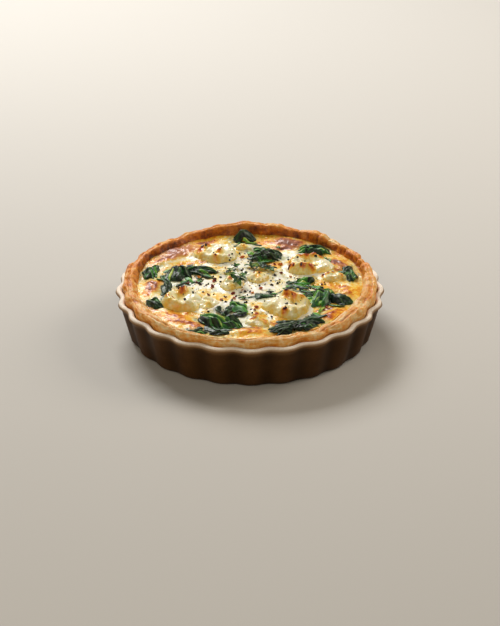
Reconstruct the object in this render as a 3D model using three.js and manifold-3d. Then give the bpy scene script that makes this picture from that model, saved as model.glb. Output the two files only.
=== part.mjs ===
// A single-serving spinach and goat's cheese quiche, baked in its fluted ceramic tart dish.
// Millimetres, +Z up. The origin is the centre of the dish's foot, on the surface it stands on,
// and the quiche's front is towards -Y.
import * as THREE from "three";
import { mergeVertices } from "three/addons/utils/BufferGeometryUtils.js";
import Module from "manifold-3d";

const wasm = await Module();
wasm.setup();

// ---------------------------------------------------------------- driving dimensions

const DISH = {
  radius: 70, // at the lip, over the crowns of the flutes
  height: 24,
  footRadius: 62,
  lipWidth: 3.6,
  floorThickness: 4.2,
  flutes: 24,
  fluteDepth: 2.0,
  footFluteDepth: 1.3,
  grooveSharpness: 2.5, // 2 is a plain wave, and more makes broad crowns and narrow grooves
  crownAngle: -89.4, // degrees: one flute's crown is close to the front
  segments: 144, // six for each flute
};

const CRUST = {
  fitGap: 0.55, // between the pastry and the dish
  baseThickness: 3.4,
  baseRadius: 54.5, // where the custard stands on it
  crestHeight: 28.7, // the mean height of the rim
  crestTilt: 1.7, // the rim stands this much higher at the back, and lower at the front
  crestWander: 0.7,
  creaseDepth: 0.7, // the fold line that runs round the top of the rim
  innerRadius: 60.9, // where the custard meets the rim
  innerWander: 0.5,
  segments: 96, // four for each flute
};

// Places where the rim is folded in wider, by this much: [angle, width, spread in degrees].
const CRUST_WIDE_SPOTS = [
  [-30, 4.2, 24],
  [-72, 2.0, 12],
  [-152, 2.6, 18],
  [0, 1.4, 20],
  [180, 1.8, 22],
  [133, 1.2, 12],
];

// Places where the rim puffs up higher than the rest: [angle, rise, spread in degrees].
const CRUST_HIGH_SPOTS = [
  [93, 1.5, 17],
  [58, 0.8, 9],
  [141, 0.9, 9],
  [-90, 0.5, 30],
];

const CUSTARD = {
  level: 25.1,
  backRise: 0.9, // it puffed up higher towards the back
  edgeGap: 0.45, // to the pastry
  rings: 14, // ring number k has 6k points
  ripple: 0.28,
  footShare: 0.87, // it narrows down to this share of its width
};

// Puffed and browned rises in the custard: [x, y, half length, half width, rise, turn].
const PUFFS = [
  [-40, 37, 12, 7, 1.6, 40],
  [20, 49, 9, 6, 2.0, -25],
  [-51, -2, 8, 4, 1.3, 85],
  [-37, -38.5, 10, 4.5, 2.0, -38],
  [1, -53.5, 10, 4.2, 2.4, 0],
  [51, -7, 6, 4, 1.6, 78],
  [42, -33, 8, 4, 1.7, 42],
  [-46, 26, 7, 3.5, 1.4, 20],
  [47, 26, 6, 4, 1.2, -50],
  [-1, 45, 5, 3, 1.4, -10],
  [-9, -21, 7, 4, 0.8, 20],
];

// Goat's cheese, each with its half length, half width, height over the custard and turn.
// A peak is [along, across, rise, spread] in the piece's own turned frame, and a dent falls.
const CHEESES = [
  {
    name: "cheese_back_left", x: -18.2, y: 35.5, long: 12, wide: 10.3, height: 4.2, turn: -8, rings: 5,
    peaks: [[-7.2, 2.4, 2.4, 2.8], [2.2, -2.8, 2.0, 2.2], [1, -8, 0.9, 2.8], [-2.4, -3.6, -1.2, 2.6]],
  },
  {
    name: "cheese_back_right", x: 30.3, y: 21, long: 12.4, wide: 9.8, height: 4.6, turn: -8, rings: 5,
    peaks: [[2.5, 6, 2.8, 4.2], [-8.5, 2, 2.2, 3.0], [-2, -4.5, 1.8, 4.2], [0.5, 1, -2.8, 4.0]],
  },
  {
    name: "cheese_right", x: 43, y: 8.5, long: 6.5, wide: 5, height: 2.8, turn: 15, rings: 3,
    peaks: [[0, 2, 1.3, 2.6]],
  },
  {
    name: "cheese_left", x: -34.5, y: -19.5, long: 10.5, wide: 12, height: 4.6, turn: -25, rings: 5,
    peaks: [[-2, 4.8, 2.8, 3.2], [-5, -5, 1.0, 3.4], [2.5, -8, 0.8, 3.2], [0, -2.4, -1.6, 3.2]],
  },
  {
    name: "cheese_left_tail", x: -21.6, y: -21.8, long: 5.6, wide: 6.8, height: 2.4, turn: -10, rings: 3,
    peaks: [[-1, 2.6, 0.9, 2.4]],
  },
  {
    name: "cheese_front_right", x: 19.3, y: -26, long: 12, wide: 12, height: 4.8, turn: 8, rings: 5,
    peaks: [[0.2, 7.5, 4.2, 2.6], [-3.3, -8.8, 1.6, 2.0], [8, 2.4, 0.9, 3.2], [3, -1, -2.2, 3.4]],
  },
  {
    name: "cheese_middle_left", x: -9.1, y: 0.2, long: 6.9, wide: 6.2, height: 3.2, turn: 40, rings: 4,
    peaks: [[-0.4, 1, 1.2, 2.4]],
  },
  {
    name: "cheese_middle", x: 4.6, y: 7.2, long: 5.6, wide: 5.4, height: 3.2, turn: -5, rings: 4,
    peaks: [[-0.4, 1, 1.2, 3.0]],
  },
  {
    name: "cheese_front", x: 4.6, y: -43.6, long: 6.6, wide: 4.2, height: 2.2, turn: -15, rings: 3,
    peaks: [[-2, 1, 1.2, 2.2]],
  },
  {
    name: "cheese_front_middle", x: 2.6, y: -33, long: 3.4, wide: 4.2, height: 1.7, turn: 20, rings: 3,
    peaks: [[0.5, 1, 0.8, 2.0]],
  },
  {
    name: "cheese_back", x: -3.2, y: 43, long: 4.6, wide: 2.8, height: 2.0, turn: -8, rings: 3,
    peaks: [[-1, 0.5, 0.9, 2.0]],
  },
];

// Wilted spinach. A bundle's leaves are [x, y, half length, half width, turn, fold, ridges]:
// the fold is how high the leaf's ridges stand, and the ridges run along it.
const SPINACH = {
  spinach_left_fold: [[-37.5, 13.2, 8.8, 5.6, 62, 2.8, 1], [-25.5, 17.3, 8.5, 3.2, -12, 1.4, 1]],
  spinach_left_strip: [[-43.4, -3.2, 6.6, 2.6, 80, 1.1, 1]],
  spinach_left_back: [[-52, 14.5, 8.2, 3.4, 72, 1.4, 2]],
  spinach_left_edge: [[-48.2, -22, 6.6, 4.1, -38, 1.6, 2]],
  spinach_front_left: [[-14.5, -42, 12, 5.6, -31, 2.6, 2]],
  spinach_front_edge: [[-26.4, -52.6, 5.4, 2.4, -14, 1.3, 1]],
  spinach_front_strand: [[-15, -54.6, 5, 2.2, 4, 0.9, 1]],
  spinach_middle: [[-5.6, -27.4, 7, 4.8, -48, 1.6, 1], [-11.6, -30, 4.8, 2.4, 62, 1.3, 1]],
  spinach_centre: [[6, -12.8, 3.6, 2.2, 5, 0.5, 1]],
  spinach_front_right: [[22, -49.4, 12, 4.4, 22, 1.8, 2], [31.6, -42.6, 6.2, 2.4, 8, 1.4, 1]],
  spinach_right: [[38, -14.5, 9.6, 5.6, 58, 2.3, 2], [46, -17, 7.5, 4.2, -20, 1.9, 2]],
  spinach_right_stalk: [[36.5, -28.4, 3.6, 1.1, 66, 0.8, 1]],
  spinach_right_curl: [[29, 5, 4.6, 2.4, 18, 1.8, 1]],
  spinach_right_edge: [[52.4, 11.4, 6.4, 3.4, 112, 1.5, 2], [51, 17, 4.6, 2.8, 50, 1.2, 1]],
  spinach_back_right: [[34.6, 41, 8.4, 4.6, -16, 1.8, 2]],
  spinach_back_middle: [[8.8, 33.8, 9.2, 5.2, 18, 2.0, 2], [7, 39.8, 5.6, 2.8, -14, 1.3, 1]],
  spinach_back_edge: [[-3, 54.6, 6.4, 4.2, 8, 4.2, 1]],
};
const LEAF_THICKNESS = 0.9;
const LEAF_FACET = 2.1; // half the spacing of a leaf's facets along it

// Thyme: the plan points that each sprig's stem runs through, and its pairs of leaves.
const THYME = {
  thyme_left: { stem: [[-9.9, 11.2], [-10.4, 16.2], [-7.6, 21.4]], leafPairs: 4 },
  thyme_front: { stem: [[-6.6, -2.2], [-5.6, 2.4], [-4.4, 7.6], [-2.2, 12.6]], leafPairs: 3 },
  thyme_right: { stem: [[-0.5, 23], [4.8, 20.4], [11, 17.6]], leafPairs: 4 },
};
const THYME_LEAF = { length: 3.6, width: 1.9, thickness: 0.5, spread: 58, lift: 22 };
const STEM = { radius: 0.4, sides: 5, steps: 6, arch: 0.8 };

const REST_GAP = 0.35; // between a topping and what it lies on

// Cracked pepper and chilli flakes that show, baked on: half sizes of a piece, and how many.
const PEPPER = { halfSize: [0.85, 0.72, 0.62], onCustard: 22, onEachLargeCheese: 3 };
const CHILLI = { halfSize: [1.3, 0.9, 0.5], onCustard: 14 };
const SPRINKLED_RADIUS = 38; // they lie in the middle of the quiche
const SPRINKLE_CLEARANCE = 1.8; // from the centre of a piece to the nearest topping
const SPRIG_CLEARANCE = 5.5; // and to the points that a sprig's stem runs through

// ---------------------------------------------------------------- small helpers

const radians = THREE.MathUtils.degToRad;

// A repeatable stream of numbers from 0 to 1.
function seeded(seed) {
  let state = seed;
  return () => {
    state = (state * 16807) % 2147483647;
    return state / 2147483647;
  };
}

// Smooth unevenness between about -1 and 1: three waves that cross at odd angles.
function unevenness(x, y, wavelength, seed) {
  const k = (2 * Math.PI) / wavelength;
  const first = Math.sin(k * (0.96 * x + 0.28 * y) + 1.7 * seed);
  const second = Math.sin(1.27 * k * (0.9 * y - 0.43 * x) + 2.9 * seed);
  const third = Math.sin(0.81 * k * (0.62 * x - 0.78 * y) + 4.3 * seed);
  return (first + second + third) / 3;
}

// The sum at an angle of bumps given as [angle, height, spread], in degrees round a circle.
function bumpsRound(bumps, angle) {
  let sum = 0;
  for (const [at, height, spread] of bumps) {
    const away = THREE.MathUtils.euclideanModulo(THREE.MathUtils.radToDeg(angle) - at + 180, 360) - 180;
    sum += height * Math.exp(-((away / spread) ** 2));
  }
  return sum;
}

// A plan point in the frame of something that lies at (x, y), turned by so many degrees.
function intoFrame(x, y, atX, atY, turn) {
  const [c, s] = [Math.cos(radians(turn)), Math.sin(radians(turn))];
  return [c * (x - atX) + s * (y - atY), c * (y - atY) - s * (x - atX)];
}

// The way back from that frame to plan.
function outOfFrame(along, across, atX, atY, turn) {
  const [c, s] = [Math.cos(radians(turn)), Math.sin(radians(turn))];
  return [atX + c * along - s * across, atY + s * along + c * across];
}

// ---------------------------------------------------------------- meshes and booleans

function geometryFrom(points, triangles) {
  const geometry = new THREE.BufferGeometry();
  geometry.setAttribute("position", new THREE.Float32BufferAttribute(points.flat(), 3));
  geometry.setIndex(triangles.flat());
  return geometry;
}

function solidFrom(geometry) {
  const bare = geometry.clone();
  bare.deleteAttribute("normal");
  bare.deleteAttribute("uv");
  const merged = mergeVertices(bare, 1e-4);
  return new wasm.Manifold(
    new wasm.Mesh({
      numProp: 3,
      vertProperties: merged.getAttribute("position").array,
      triVerts: new Uint32Array(merged.getIndex().array),
    }),
  );
}

function geometryOf(solid) {
  const mesh = solid.getMesh();
  const geometry = new THREE.BufferGeometry();
  geometry.setAttribute("position", new THREE.BufferAttribute(mesh.vertProperties, 3));
  geometry.setIndex(new THREE.BufferAttribute(mesh.triVerts, 1));
  return geometry;
}

const joined = (solids) => solids.reduce((sum, solid) => sum.add(solid));

// The largest body of a solid that a cut may have left in several.
function mainBody(solid) {
  return solid.decompose().reduce((a, b) => (b.volume() > a.volume() ? b : a));
}

// A solid carried round the Z axis. Each row gives [radius, height] at an angle, so the section
// may change as it goes round. The first and last rows are closed to the axis.
function turnedGeometry(rows, segments) {
  const points = [];
  const triangles = [];
  for (const row of rows)
    for (let i = 0; i < segments; i++) {
      const angle = (2 * Math.PI * i) / segments;
      const [r, z] = row(angle);
      points.push([r * Math.cos(angle), r * Math.sin(angle), z]);
    }
  for (let j = 0; j + 1 < rows.length; j++)
    for (let i = 0; i < segments; i++) {
      const next = (i + 1) % segments;
      const [a, b] = [j * segments + i, j * segments + next];
      triangles.push([a, b, b + segments], [a, b + segments, a + segments]);
    }
  const last = (rows.length - 1) * segments;
  const under = points.push([0, 0, points[0][2]]) - 1;
  const over = points.push([0, 0, points[last][2]]) - 1;
  for (let i = 0; i < segments; i++) {
    const next = (i + 1) % segments;
    triangles.push([under, next, i], [over, last + i, last + next]);
  }
  return geometryFrom(points, triangles);
}

// A disc of rings, ring k with 6k points: polar places [share of the radius, angle] and triangles.
function discOfRings(rings) {
  const places = [[0, 0]];
  const triangles = [];
  const start = (k) => (k ? 1 + 3 * k * (k - 1) : 0);
  for (let k = 1; k <= rings; k++)
    for (let i = 0; i < 6 * k; i++) places.push([k / rings, (2 * Math.PI * i) / (6 * k)]);
  for (let k = 1; k <= rings; k++)
    for (let i = 0; i < 6 * k; i++) {
      const sector = Math.floor(i / k);
      const innerCount = Math.max(1, 6 * (k - 1));
      const inner = start(k - 1) + ((i - sector) % innerCount);
      const outerNext = start(k) + ((i + 1) % (6 * k));
      triangles.push([start(k) + i, outerNext, inner]);
      if (i % k < k - 1) triangles.push([outerNext, start(k - 1) + ((i - sector + 1) % innerCount), inner]);
    }
  return { places, triangles, rim: start(rings), rimCount: 6 * rings };
}

// A solid below a disc of rings: the rim goes down to a flat underside, drawn in by a factor
// towards the disc's centre.
function discSolidGeometry(rings, topPoint, bottomZ, drawnIn) {
  const disc = discOfRings(rings);
  const points = disc.places.map(([share, angle]) => topPoint(share, angle));
  const triangles = [...disc.triangles];
  const [cx, cy] = points[0];
  const under = points.length;
  for (let i = 0; i < disc.rimCount; i++) {
    const [x, y] = points[disc.rim + i];
    points.push([cx + (x - cx) * drawnIn, cy + (y - cy) * drawnIn, bottomZ]);
  }
  const centre = points.push([cx, cy, bottomZ]) - 1;
  for (let i = 0; i < disc.rimCount; i++) {
    const next = (i + 1) % disc.rimCount;
    triangles.push([disc.rim + next, disc.rim + i, under + i]);
    triangles.push([disc.rim + next, under + i, under + next]);
    triangles.push([centre, under + next, under + i]);
  }
  return geometryFrom(points, triangles);
}

// ---------------------------------------------------------------- the dish

// 0 on a flute's crown and 1 in the groove between two flutes.
function groove(angle) {
  const wave = Math.sin((DISH.flutes * (angle - radians(DISH.crownAngle))) / 2);
  return Math.abs(wave) ** DISH.grooveSharpness;
}

const flutedRow = (r, z, depth = DISH.fluteDepth) => (angle) => [r - depth * groove(angle), z];

const DISH_INSIDE = {
  lipRadius: DISH.radius - DISH.lipWidth,
  lipZ: DISH.height - 1.8,
  floorRadius: DISH.footRadius - 0.4,
  wallFootZ: DISH.floorThickness + 2.6,
};

function dishGeometry() {
  const { radius, height, footRadius, footFluteDepth, floorThickness } = DISH;
  const { lipRadius, lipZ, floorRadius, wallFootZ } = DISH_INSIDE;
  const rows = [
    flutedRow(footRadius, 0, footFluteDepth), // the foot's edge
    flutedRow(footRadius + 1.3, 1.4, footFluteDepth), // the wall's lower end
    flutedRow(radius - 1.4, height - 3), // under the lip
    flutedRow(radius - 0.1, height - 1.3), // the lip's outer edge
    flutedRow(radius - 1.2, height), // its top
    flutedRow(lipRadius + 0.8, height - 0.4),
    flutedRow(lipRadius, lipZ), // its inner edge
    flutedRow(floorRadius, wallFootZ, footFluteDepth),
    flutedRow(floorRadius - 2.9, floorThickness, 0.7), // the floor's edge
  ];
  return turnedGeometry(rows, DISH.segments);
}

// ---------------------------------------------------------------- the pastry case

// How far the pastry wanders from its mean line at an angle, from about -1 to 1.
function pastryWander(angle, seed) {
  const r = DISH.radius;
  return unevenness(r * Math.cos(angle), r * Math.sin(angle), 24, seed);
}

function crestHeight(angle) {
  const wander = CRUST.crestWander * pastryWander(angle, 3);
  const tilt = CRUST.crestTilt * Math.sin(angle);
  return CRUST.crestHeight + tilt + wander + bumpsRound(CRUST_HIGH_SPOTS, angle);
}

function crustInner(angle) {
  const wander = CRUST.innerWander * pastryWander(angle, 5) - 0.4 * groove(angle);
  return CRUST.innerRadius + wander - bumpsRound(CRUST_WIDE_SPOTS, angle);
}

// A point over the rim, some share of the way in from its outer edge to the custard.
function rimPoint(angle, share, drop) {
  const outer = DISH_INSIDE.lipRadius - 0.2 - 0.9 * groove(angle);
  const inner = crustInner(angle) + 0.4;
  const lean = 0.35 * pastryWander(angle, 7 + share);
  return [outer + (inner - outer) * share + lean * (1 - share), crestHeight(angle) - drop];
}

function crustGeometry() {
  const gap = CRUST.fitGap;
  const { lipRadius, lipZ, floorRadius, wallFootZ } = DISH_INSIDE;
  const depth = DISH.fluteDepth;
  const rows = [
    flutedRow(floorRadius - 4.2, DISH.floorThickness + REST_GAP, 0.7), // on the dish's floor
    flutedRow(floorRadius - gap - 0.5, wallFootZ, DISH.footFluteDepth),
    flutedRow(lipRadius - gap, lipZ, depth),
    flutedRow(lipRadius - 0.1, DISH.height + 0.5, 0.8 * depth), // level with the dish's lip
    (angle) => rimPoint(angle, 0, 1.5), // the rim, from outside in
    (angle) => rimPoint(angle, 0.16, 0.2),
    (angle) => rimPoint(angle, 0.4, CRUST.creaseDepth),
    (angle) => rimPoint(angle, 0.62, 0.15),
    (angle) => rimPoint(angle, 0.85, 1.3),
    (angle) => [crustInner(angle), CUSTARD.level - 0.6],
    () => [CRUST.baseRadius, DISH.floorThickness + REST_GAP + CRUST.baseThickness],
  ];
  return turnedGeometry(rows, CRUST.segments);
}

// ---------------------------------------------------------------- the custard

function custardTop(x, y) {
  let z = CUSTARD.level + CUSTARD.ripple * unevenness(x, y, 17, 1);
  for (const [atX, atY, long, wide, rise, turn] of PUFFS) {
    const [along, across] = intoFrame(x, y, atX, atY, turn);
    z += rise * Math.exp(-((along / long) ** 2) - (across / wide) ** 2);
  }
  return z + CUSTARD.backRise * (Math.max(0, y) / CRUST.innerRadius) ** 2;
}

function custardGeometry() {
  const topPoint = (share, angle) => {
    const r = share * (crustInner(angle) - CUSTARD.edgeGap);
    const [x, y] = [r * Math.cos(angle), r * Math.sin(angle)];
    return [x, y, custardTop(x, y)];
  };
  const bottomZ = DISH.floorThickness + 2 * REST_GAP + CRUST.baseThickness;
  return discSolidGeometry(CUSTARD.rings, topPoint, bottomZ, CUSTARD.footShare);
}

// ---------------------------------------------------------------- goat's cheese

// The radius of a cheese's uneven outline, at an angle in its own frame.
function cheeseOutline(cheese, angle) {
  const seed = cheese.x + cheese.y;
  const wobble = 1 + 0.08 * Math.sin(3 * angle + seed) + 0.05 * Math.sin(5 * angle + 2 * seed);
  return wobble / Math.hypot(Math.cos(angle) / cheese.long, Math.sin(angle) / cheese.wide);
}

// The height of a cheese's top at a plan point, or nothing outside its outline.
function cheeseTop(cheese, x, y, margin = 0) {
  const [along, across] = intoFrame(x, y, cheese.x, cheese.y, cheese.turn);
  const share = Math.hypot(along, across) / (cheeseOutline(cheese, Math.atan2(across, along)) + margin);
  if (share > 1) return -Infinity;
  const fade = 1 - share ** 4;
  let z = custardTop(cheese.x, cheese.y) + cheese.height * (1 - share ** 4) ** 0.55;
  for (const [peakAlong, peakAcross, rise, spread] of cheese.peaks)
    z += rise * fade * Math.exp(-(((along - peakAlong) / spread) ** 2) - ((across - peakAcross) / spread) ** 2);
  return z + margin + 0.25 * fade * unevenness(x, y, 6, cheese.x);
}

function cheeseSolid(cheese, margin = 0) {
  const sunkZ = CUSTARD.level - 3;
  const topPoint = (share, angle) => {
    const r = share * (cheeseOutline(cheese, angle) + margin);
    const [x, y] = outOfFrame(r * Math.cos(angle), r * Math.sin(angle), cheese.x, cheese.y, cheese.turn);
    return [x, y, share < 1 ? cheeseTop(cheese, x, y, margin) : CUSTARD.level - 0.8];
  };
  return solidFrom(discSolidGeometry(cheese.rings, topPoint, sunkZ, 0.9));
}

// ---------------------------------------------------------------- spinach

// The height that a topping has to clear round a plan point, over the surface it lies on.
function clearHeight(x, y, reach, surface) {
  let z = -Infinity;
  for (const [dx, dy] of [[0, 0], [reach, 0], [-reach, 0], [0, reach], [0, -reach]])
    z = Math.max(z, surface(x + dx, y + dy));
  return z + REST_GAP;
}

// A wilted leaf: a wavy sheet with an oval outline, its two faces split into triangles alike.
function leafGeometry([x, y, long, wide, turn, fold, ridges], seed) {
  const across = wide > 3 ? 4 : 2;
  const along = Math.max(3, Math.round(long / LEAF_FACET));
  const points = [];
  for (const side of [0, 1])
    for (let i = 0; i <= along; i++)
      for (let j = 0; j <= across; j++) {
        const u = (2 * i) / along - 1;
        const v = (2 * j) / across - 1;
        const width = wide * (0.32 + 0.68 * Math.sqrt(1 - u * u)) * (1 + 0.18 * Math.sin(5.4 * u + seed));
        const bend = 0.2 * wide * Math.sin(2.1 * u + seed);
        const [px, py] = outOfFrame(u * long, v * width + bend, x, y, turn);
        const ridge = 0.5 - 0.5 * Math.cos(Math.PI * ridges * (v + 1));
        const wave = 0.22 * (1 + Math.sin(5.1 * u + 2.2 * v + 2 * seed));
        const lift = fold * (ridge + wave) * (1 - 0.6 * u * u);
        points.push([px, py, clearHeight(px, py, 1.1, custardTop) + lift + side * LEAF_THICKNESS]);
      }
  const width = across + 1;
  const layer = width * (along + 1);
  const triangles = [];
  for (let i = 0; i < along; i++)
    for (let j = 0; j < across; j++) {
      const a = i * width + j;
      const [b, c, d] = [a + 1, a + width, a + width + 1];
      triangles.push([a, b, d], [a, d, c]);
      triangles.push([a + layer, d + layer, b + layer], [a + layer, c + layer, d + layer]);
    }
  const edge = [];
  for (let j = 0; j < across; j++) edge.push(j);
  for (let i = 0; i < along; i++) edge.push(i * width + across);
  for (let j = across; j > 0; j--) edge.push(along * width + j);
  for (let i = along; i > 0; i--) edge.push(i * width);
  edge.forEach((a, i) => {
    const b = edge[(i + 1) % edge.length];
    triangles.push([a, a + layer, b], [b, a + layer, b + layer]);
  });
  return geometryFrom(points, triangles);
}

// ---------------------------------------------------------------- thyme

const toppedHeight = (x, y) =>
  Math.max(custardTop(x, y), ...CHEESES.map((cheese) => cheeseTop(cheese, x, y, 0.25)));

function stemCurve(stem) {
  const last = stem.length - 1;
  const points = stem.map(([x, y], i) => {
    const arch = STEM.arch * Math.sin((Math.PI * i) / last);
    return new THREE.Vector3(x, y, clearHeight(x, y, 1.2, toppedHeight) + STEM.radius + arch);
  });
  return new THREE.CatmullRomCurve3(points);
}

function stemGeometry(curve) {
  const section = new THREE.Shape();
  for (let i = 0; i < STEM.sides; i++) {
    const angle = (2 * Math.PI * i) / STEM.sides;
    const point = [STEM.radius * Math.cos(angle), STEM.radius * Math.sin(angle)];
    if (i) section.lineTo(...point);
    else section.moveTo(...point);
  }
  return new THREE.ExtrudeGeometry(section, { steps: STEM.steps, extrudePath: curve, bevelEnabled: false });
}

// A thyme leaf: a thin pointed oval that grows along +X from the origin.
function thymeLeafGeometry() {
  const { length, width, thickness } = THYME_LEAF;
  const leaf = new THREE.Shape();
  leaf.moveTo(0, 0);
  leaf.lineTo(0.3 * length, -0.42 * width);
  leaf.lineTo(0.65 * length, -0.46 * width);
  leaf.lineTo(length, 0);
  leaf.lineTo(0.65 * length, 0.46 * width);
  leaf.lineTo(0.3 * length, 0.42 * width);
  return new THREE.ExtrudeGeometry(leaf, { depth: thickness, bevelEnabled: false });
}

function sprigSolid({ stem, leafPairs }) {
  const curve = stemCurve(stem);
  const pieces = [solidFrom(stemGeometry(curve))];
  for (let pair = 0; pair < leafPairs; pair++)
    for (const side of [-1, 1]) {
      const along = (pair + 0.6) / leafPairs;
      const place = curve.getPointAt(along);
      const heading = curve.getTangentAt(along);
      const turn = Math.atan2(heading.y, heading.x) + side * radians(THYME_LEAF.spread + 9 * pair);
      const geometry = thymeLeafGeometry();
      geometry.rotateY(-radians(THYME_LEAF.lift));
      geometry.rotateZ(turn);
      geometry.translate(place.x, place.y, place.z - 0.1);
      pieces.push(solidFrom(geometry));
    }
  return joined(pieces);
}

// ---------------------------------------------------------------- pepper and chilli

function clearOfToppings(x, y) {
  const clearance = SPRINKLE_CLEARANCE;
  for (const cheese of CHEESES) if (cheeseTop(cheese, x, y, clearance) > -Infinity) return false;
  for (const leaves of Object.values(SPINACH))
    for (const [atX, atY, long, wide, turn] of leaves) {
      const [along, across] = intoFrame(x, y, atX, atY, turn);
      if (Math.hypot(along / (long + clearance), across / (1.3 * wide + clearance)) < 1) return false;
    }
  for (const { stem } of Object.values(THYME))
    for (const [atX, atY] of stem) if (Math.hypot(x - atX, y - atY) < SPRIG_CLEARANCE) return false;
  return true;
}

// A crumb of something brittle: an uneven octahedron, half sunk at a place and turned at random.
function crumbSolid([a, b, c], place, random) {
  const geometry = new THREE.OctahedronGeometry(1, 0);
  geometry.scale(a * (0.85 + 0.3 * random()), b, c * (0.9 + 0.3 * random()));
  geometry.rotateX(0.5 * (random() - 0.5));
  geometry.rotateZ(2 * Math.PI * random());
  geometry.translate(...place);
  return solidFrom(geometry);
}

// Crumbs on the custard, spread evenly: each new place is the one of several drawn that lies
// furthest from the places already taken.
function crumbsOnCustard(halfSize, count, taken, random) {
  const crumbs = [];
  while (crumbs.length < count) {
    let best;
    let bestDistance = -1;
    for (let draw = 0; draw < 8; draw++) {
      const r = SPRINKLED_RADIUS * Math.sqrt(random());
      const angle = 2 * Math.PI * random();
      const [x, y] = [r * Math.cos(angle), r * Math.sin(angle)];
      const distance = Math.min(99, ...taken.map(([tx, ty]) => Math.hypot(x - tx, y - ty)));
      if (clearOfToppings(x, y) && distance > bestDistance) [best, bestDistance] = [[x, y], distance];
    }
    if (!best) continue;
    taken.push(best);
    crumbs.push(crumbSolid(halfSize, [...best, custardTop(...best) + 0.3 * halfSize[2]], random));
  }
  return crumbs;
}

function crumbsOnCheese(cheese, random) {
  const crumbs = [];
  for (let i = 0; i < PEPPER.onEachLargeCheese; i++) {
    const angle = (2 * Math.PI * (i + 0.6 * random())) / PEPPER.onEachLargeCheese;
    const r = (0.25 + 0.35 * random()) * cheeseOutline(cheese, angle);
    const [x, y] = outOfFrame(r * Math.cos(angle), r * Math.sin(angle), cheese.x, cheese.y, cheese.turn);
    crumbs.push(crumbSolid(PEPPER.halfSize, [x, y, cheeseTop(cheese, x, y)], random));
  }
  return crumbs;
}

// ---------------------------------------------------------------- the whole quiche

const quiche = new THREE.Group();

function addPiece(name, geometry, colour, roughness) {
  const material = new THREE.MeshStandardMaterial({ color: colour, roughness, metalness: 0 });
  const mesh = new THREE.Mesh(geometry, material);
  mesh.name = name;
  quiche.add(mesh);
}

const random = seeded(4021);
const takenPlaces = [];

addPiece("dish", dishGeometry(), 0xcdb79b, 0.35);
addPiece("crust", crustGeometry(), 0xd9a468, 0.7);

const bareCustard = solidFrom(custardGeometry());
const chilliCrumbs = crumbsOnCustard(CHILLI.halfSize, CHILLI.onCustard, takenPlaces, random);
const pepperCrumbs = crumbsOnCustard(PEPPER.halfSize, PEPPER.onCustard, takenPlaces, random);
const custard = joined([bareCustard, ...chilliCrumbs, ...pepperCrumbs]);
addPiece("custard", geometryOf(custard), 0xf0dca0, 0.5);

// The cheese rests on the custard's top, each piece pressed against those before it, and the
// spinach is tucked against the cheese.
let occupied = bareCustard.translate([0, 0, REST_GAP]);
for (const cheese of CHEESES) {
  const bare = mainBody(cheeseSolid(cheese).subtract(occupied));
  occupied = occupied.add(cheeseSolid(cheese, REST_GAP));
  const crumbs = cheese.rings > 4 ? crumbsOnCheese(cheese, random) : [];
  addPiece(cheese.name, geometryOf(mainBody(joined([bare, ...crumbs]))), 0xf6edcf, 0.6);
}
const cheeseRoom = joined(CHEESES.map((cheese) => cheeseSolid(cheese, REST_GAP)));
Object.entries(SPINACH).forEach(([name, leaves], number) => {
  const sheets = leaves.map((leaf, i) => solidFrom(leafGeometry(leaf, 1.3 * number + 2.1 * i)));
  addPiece(name, geometryOf(mainBody(joined(sheets).subtract(cheeseRoom))), 0x24492c, 0.45);
});
for (const [name, sprig] of Object.entries(THYME))
  addPiece(name, geometryOf(sprigSolid(sprig)), 0x2f5a22, 0.6);

export default quiche;
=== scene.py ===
"""A spinach and goat's cheese quiche in its fluted stoneware dish: looks for the packed CAD part.

The file is laid out as a Blender add-on and run as a script. The shape functions work in
millimetres, in the part's own frame: +Z up, the quiche's front towards -Y.
"""

import math

import bmesh
import bpy
import numpy as np
from bpy.props import FloatProperty, FloatVectorProperty, IntProperty, PointerProperty
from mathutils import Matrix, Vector


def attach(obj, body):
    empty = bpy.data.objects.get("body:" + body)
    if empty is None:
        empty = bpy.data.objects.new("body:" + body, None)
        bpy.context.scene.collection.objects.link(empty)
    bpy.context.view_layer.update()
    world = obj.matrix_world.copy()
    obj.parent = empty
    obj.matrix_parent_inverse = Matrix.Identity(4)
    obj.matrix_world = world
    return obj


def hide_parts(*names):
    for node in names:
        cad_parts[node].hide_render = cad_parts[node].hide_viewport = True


bl_info = {
    "name": "Spinach quiche",
    "version": (1, 0, 0),
    "blender": (4, 5, 0),
    "location": "3D View > Sidebar > Quiche",
    "description": "Builds the looks of a spinach quiche in its fluted dish, piece by piece",
    "category": "Add Mesh",
}

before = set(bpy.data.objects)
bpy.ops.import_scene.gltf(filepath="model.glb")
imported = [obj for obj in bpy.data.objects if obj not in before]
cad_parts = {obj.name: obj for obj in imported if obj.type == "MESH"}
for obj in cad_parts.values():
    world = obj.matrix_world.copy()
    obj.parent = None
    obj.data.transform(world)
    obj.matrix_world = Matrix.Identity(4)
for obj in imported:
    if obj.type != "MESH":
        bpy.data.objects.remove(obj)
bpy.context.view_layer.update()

MM = 0.001
BODY = "root"

# ---------------------------------------- forms shared with the part
# A cheese's scorched places and a leaf's freshness are colour, and only the looks have them.

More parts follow.
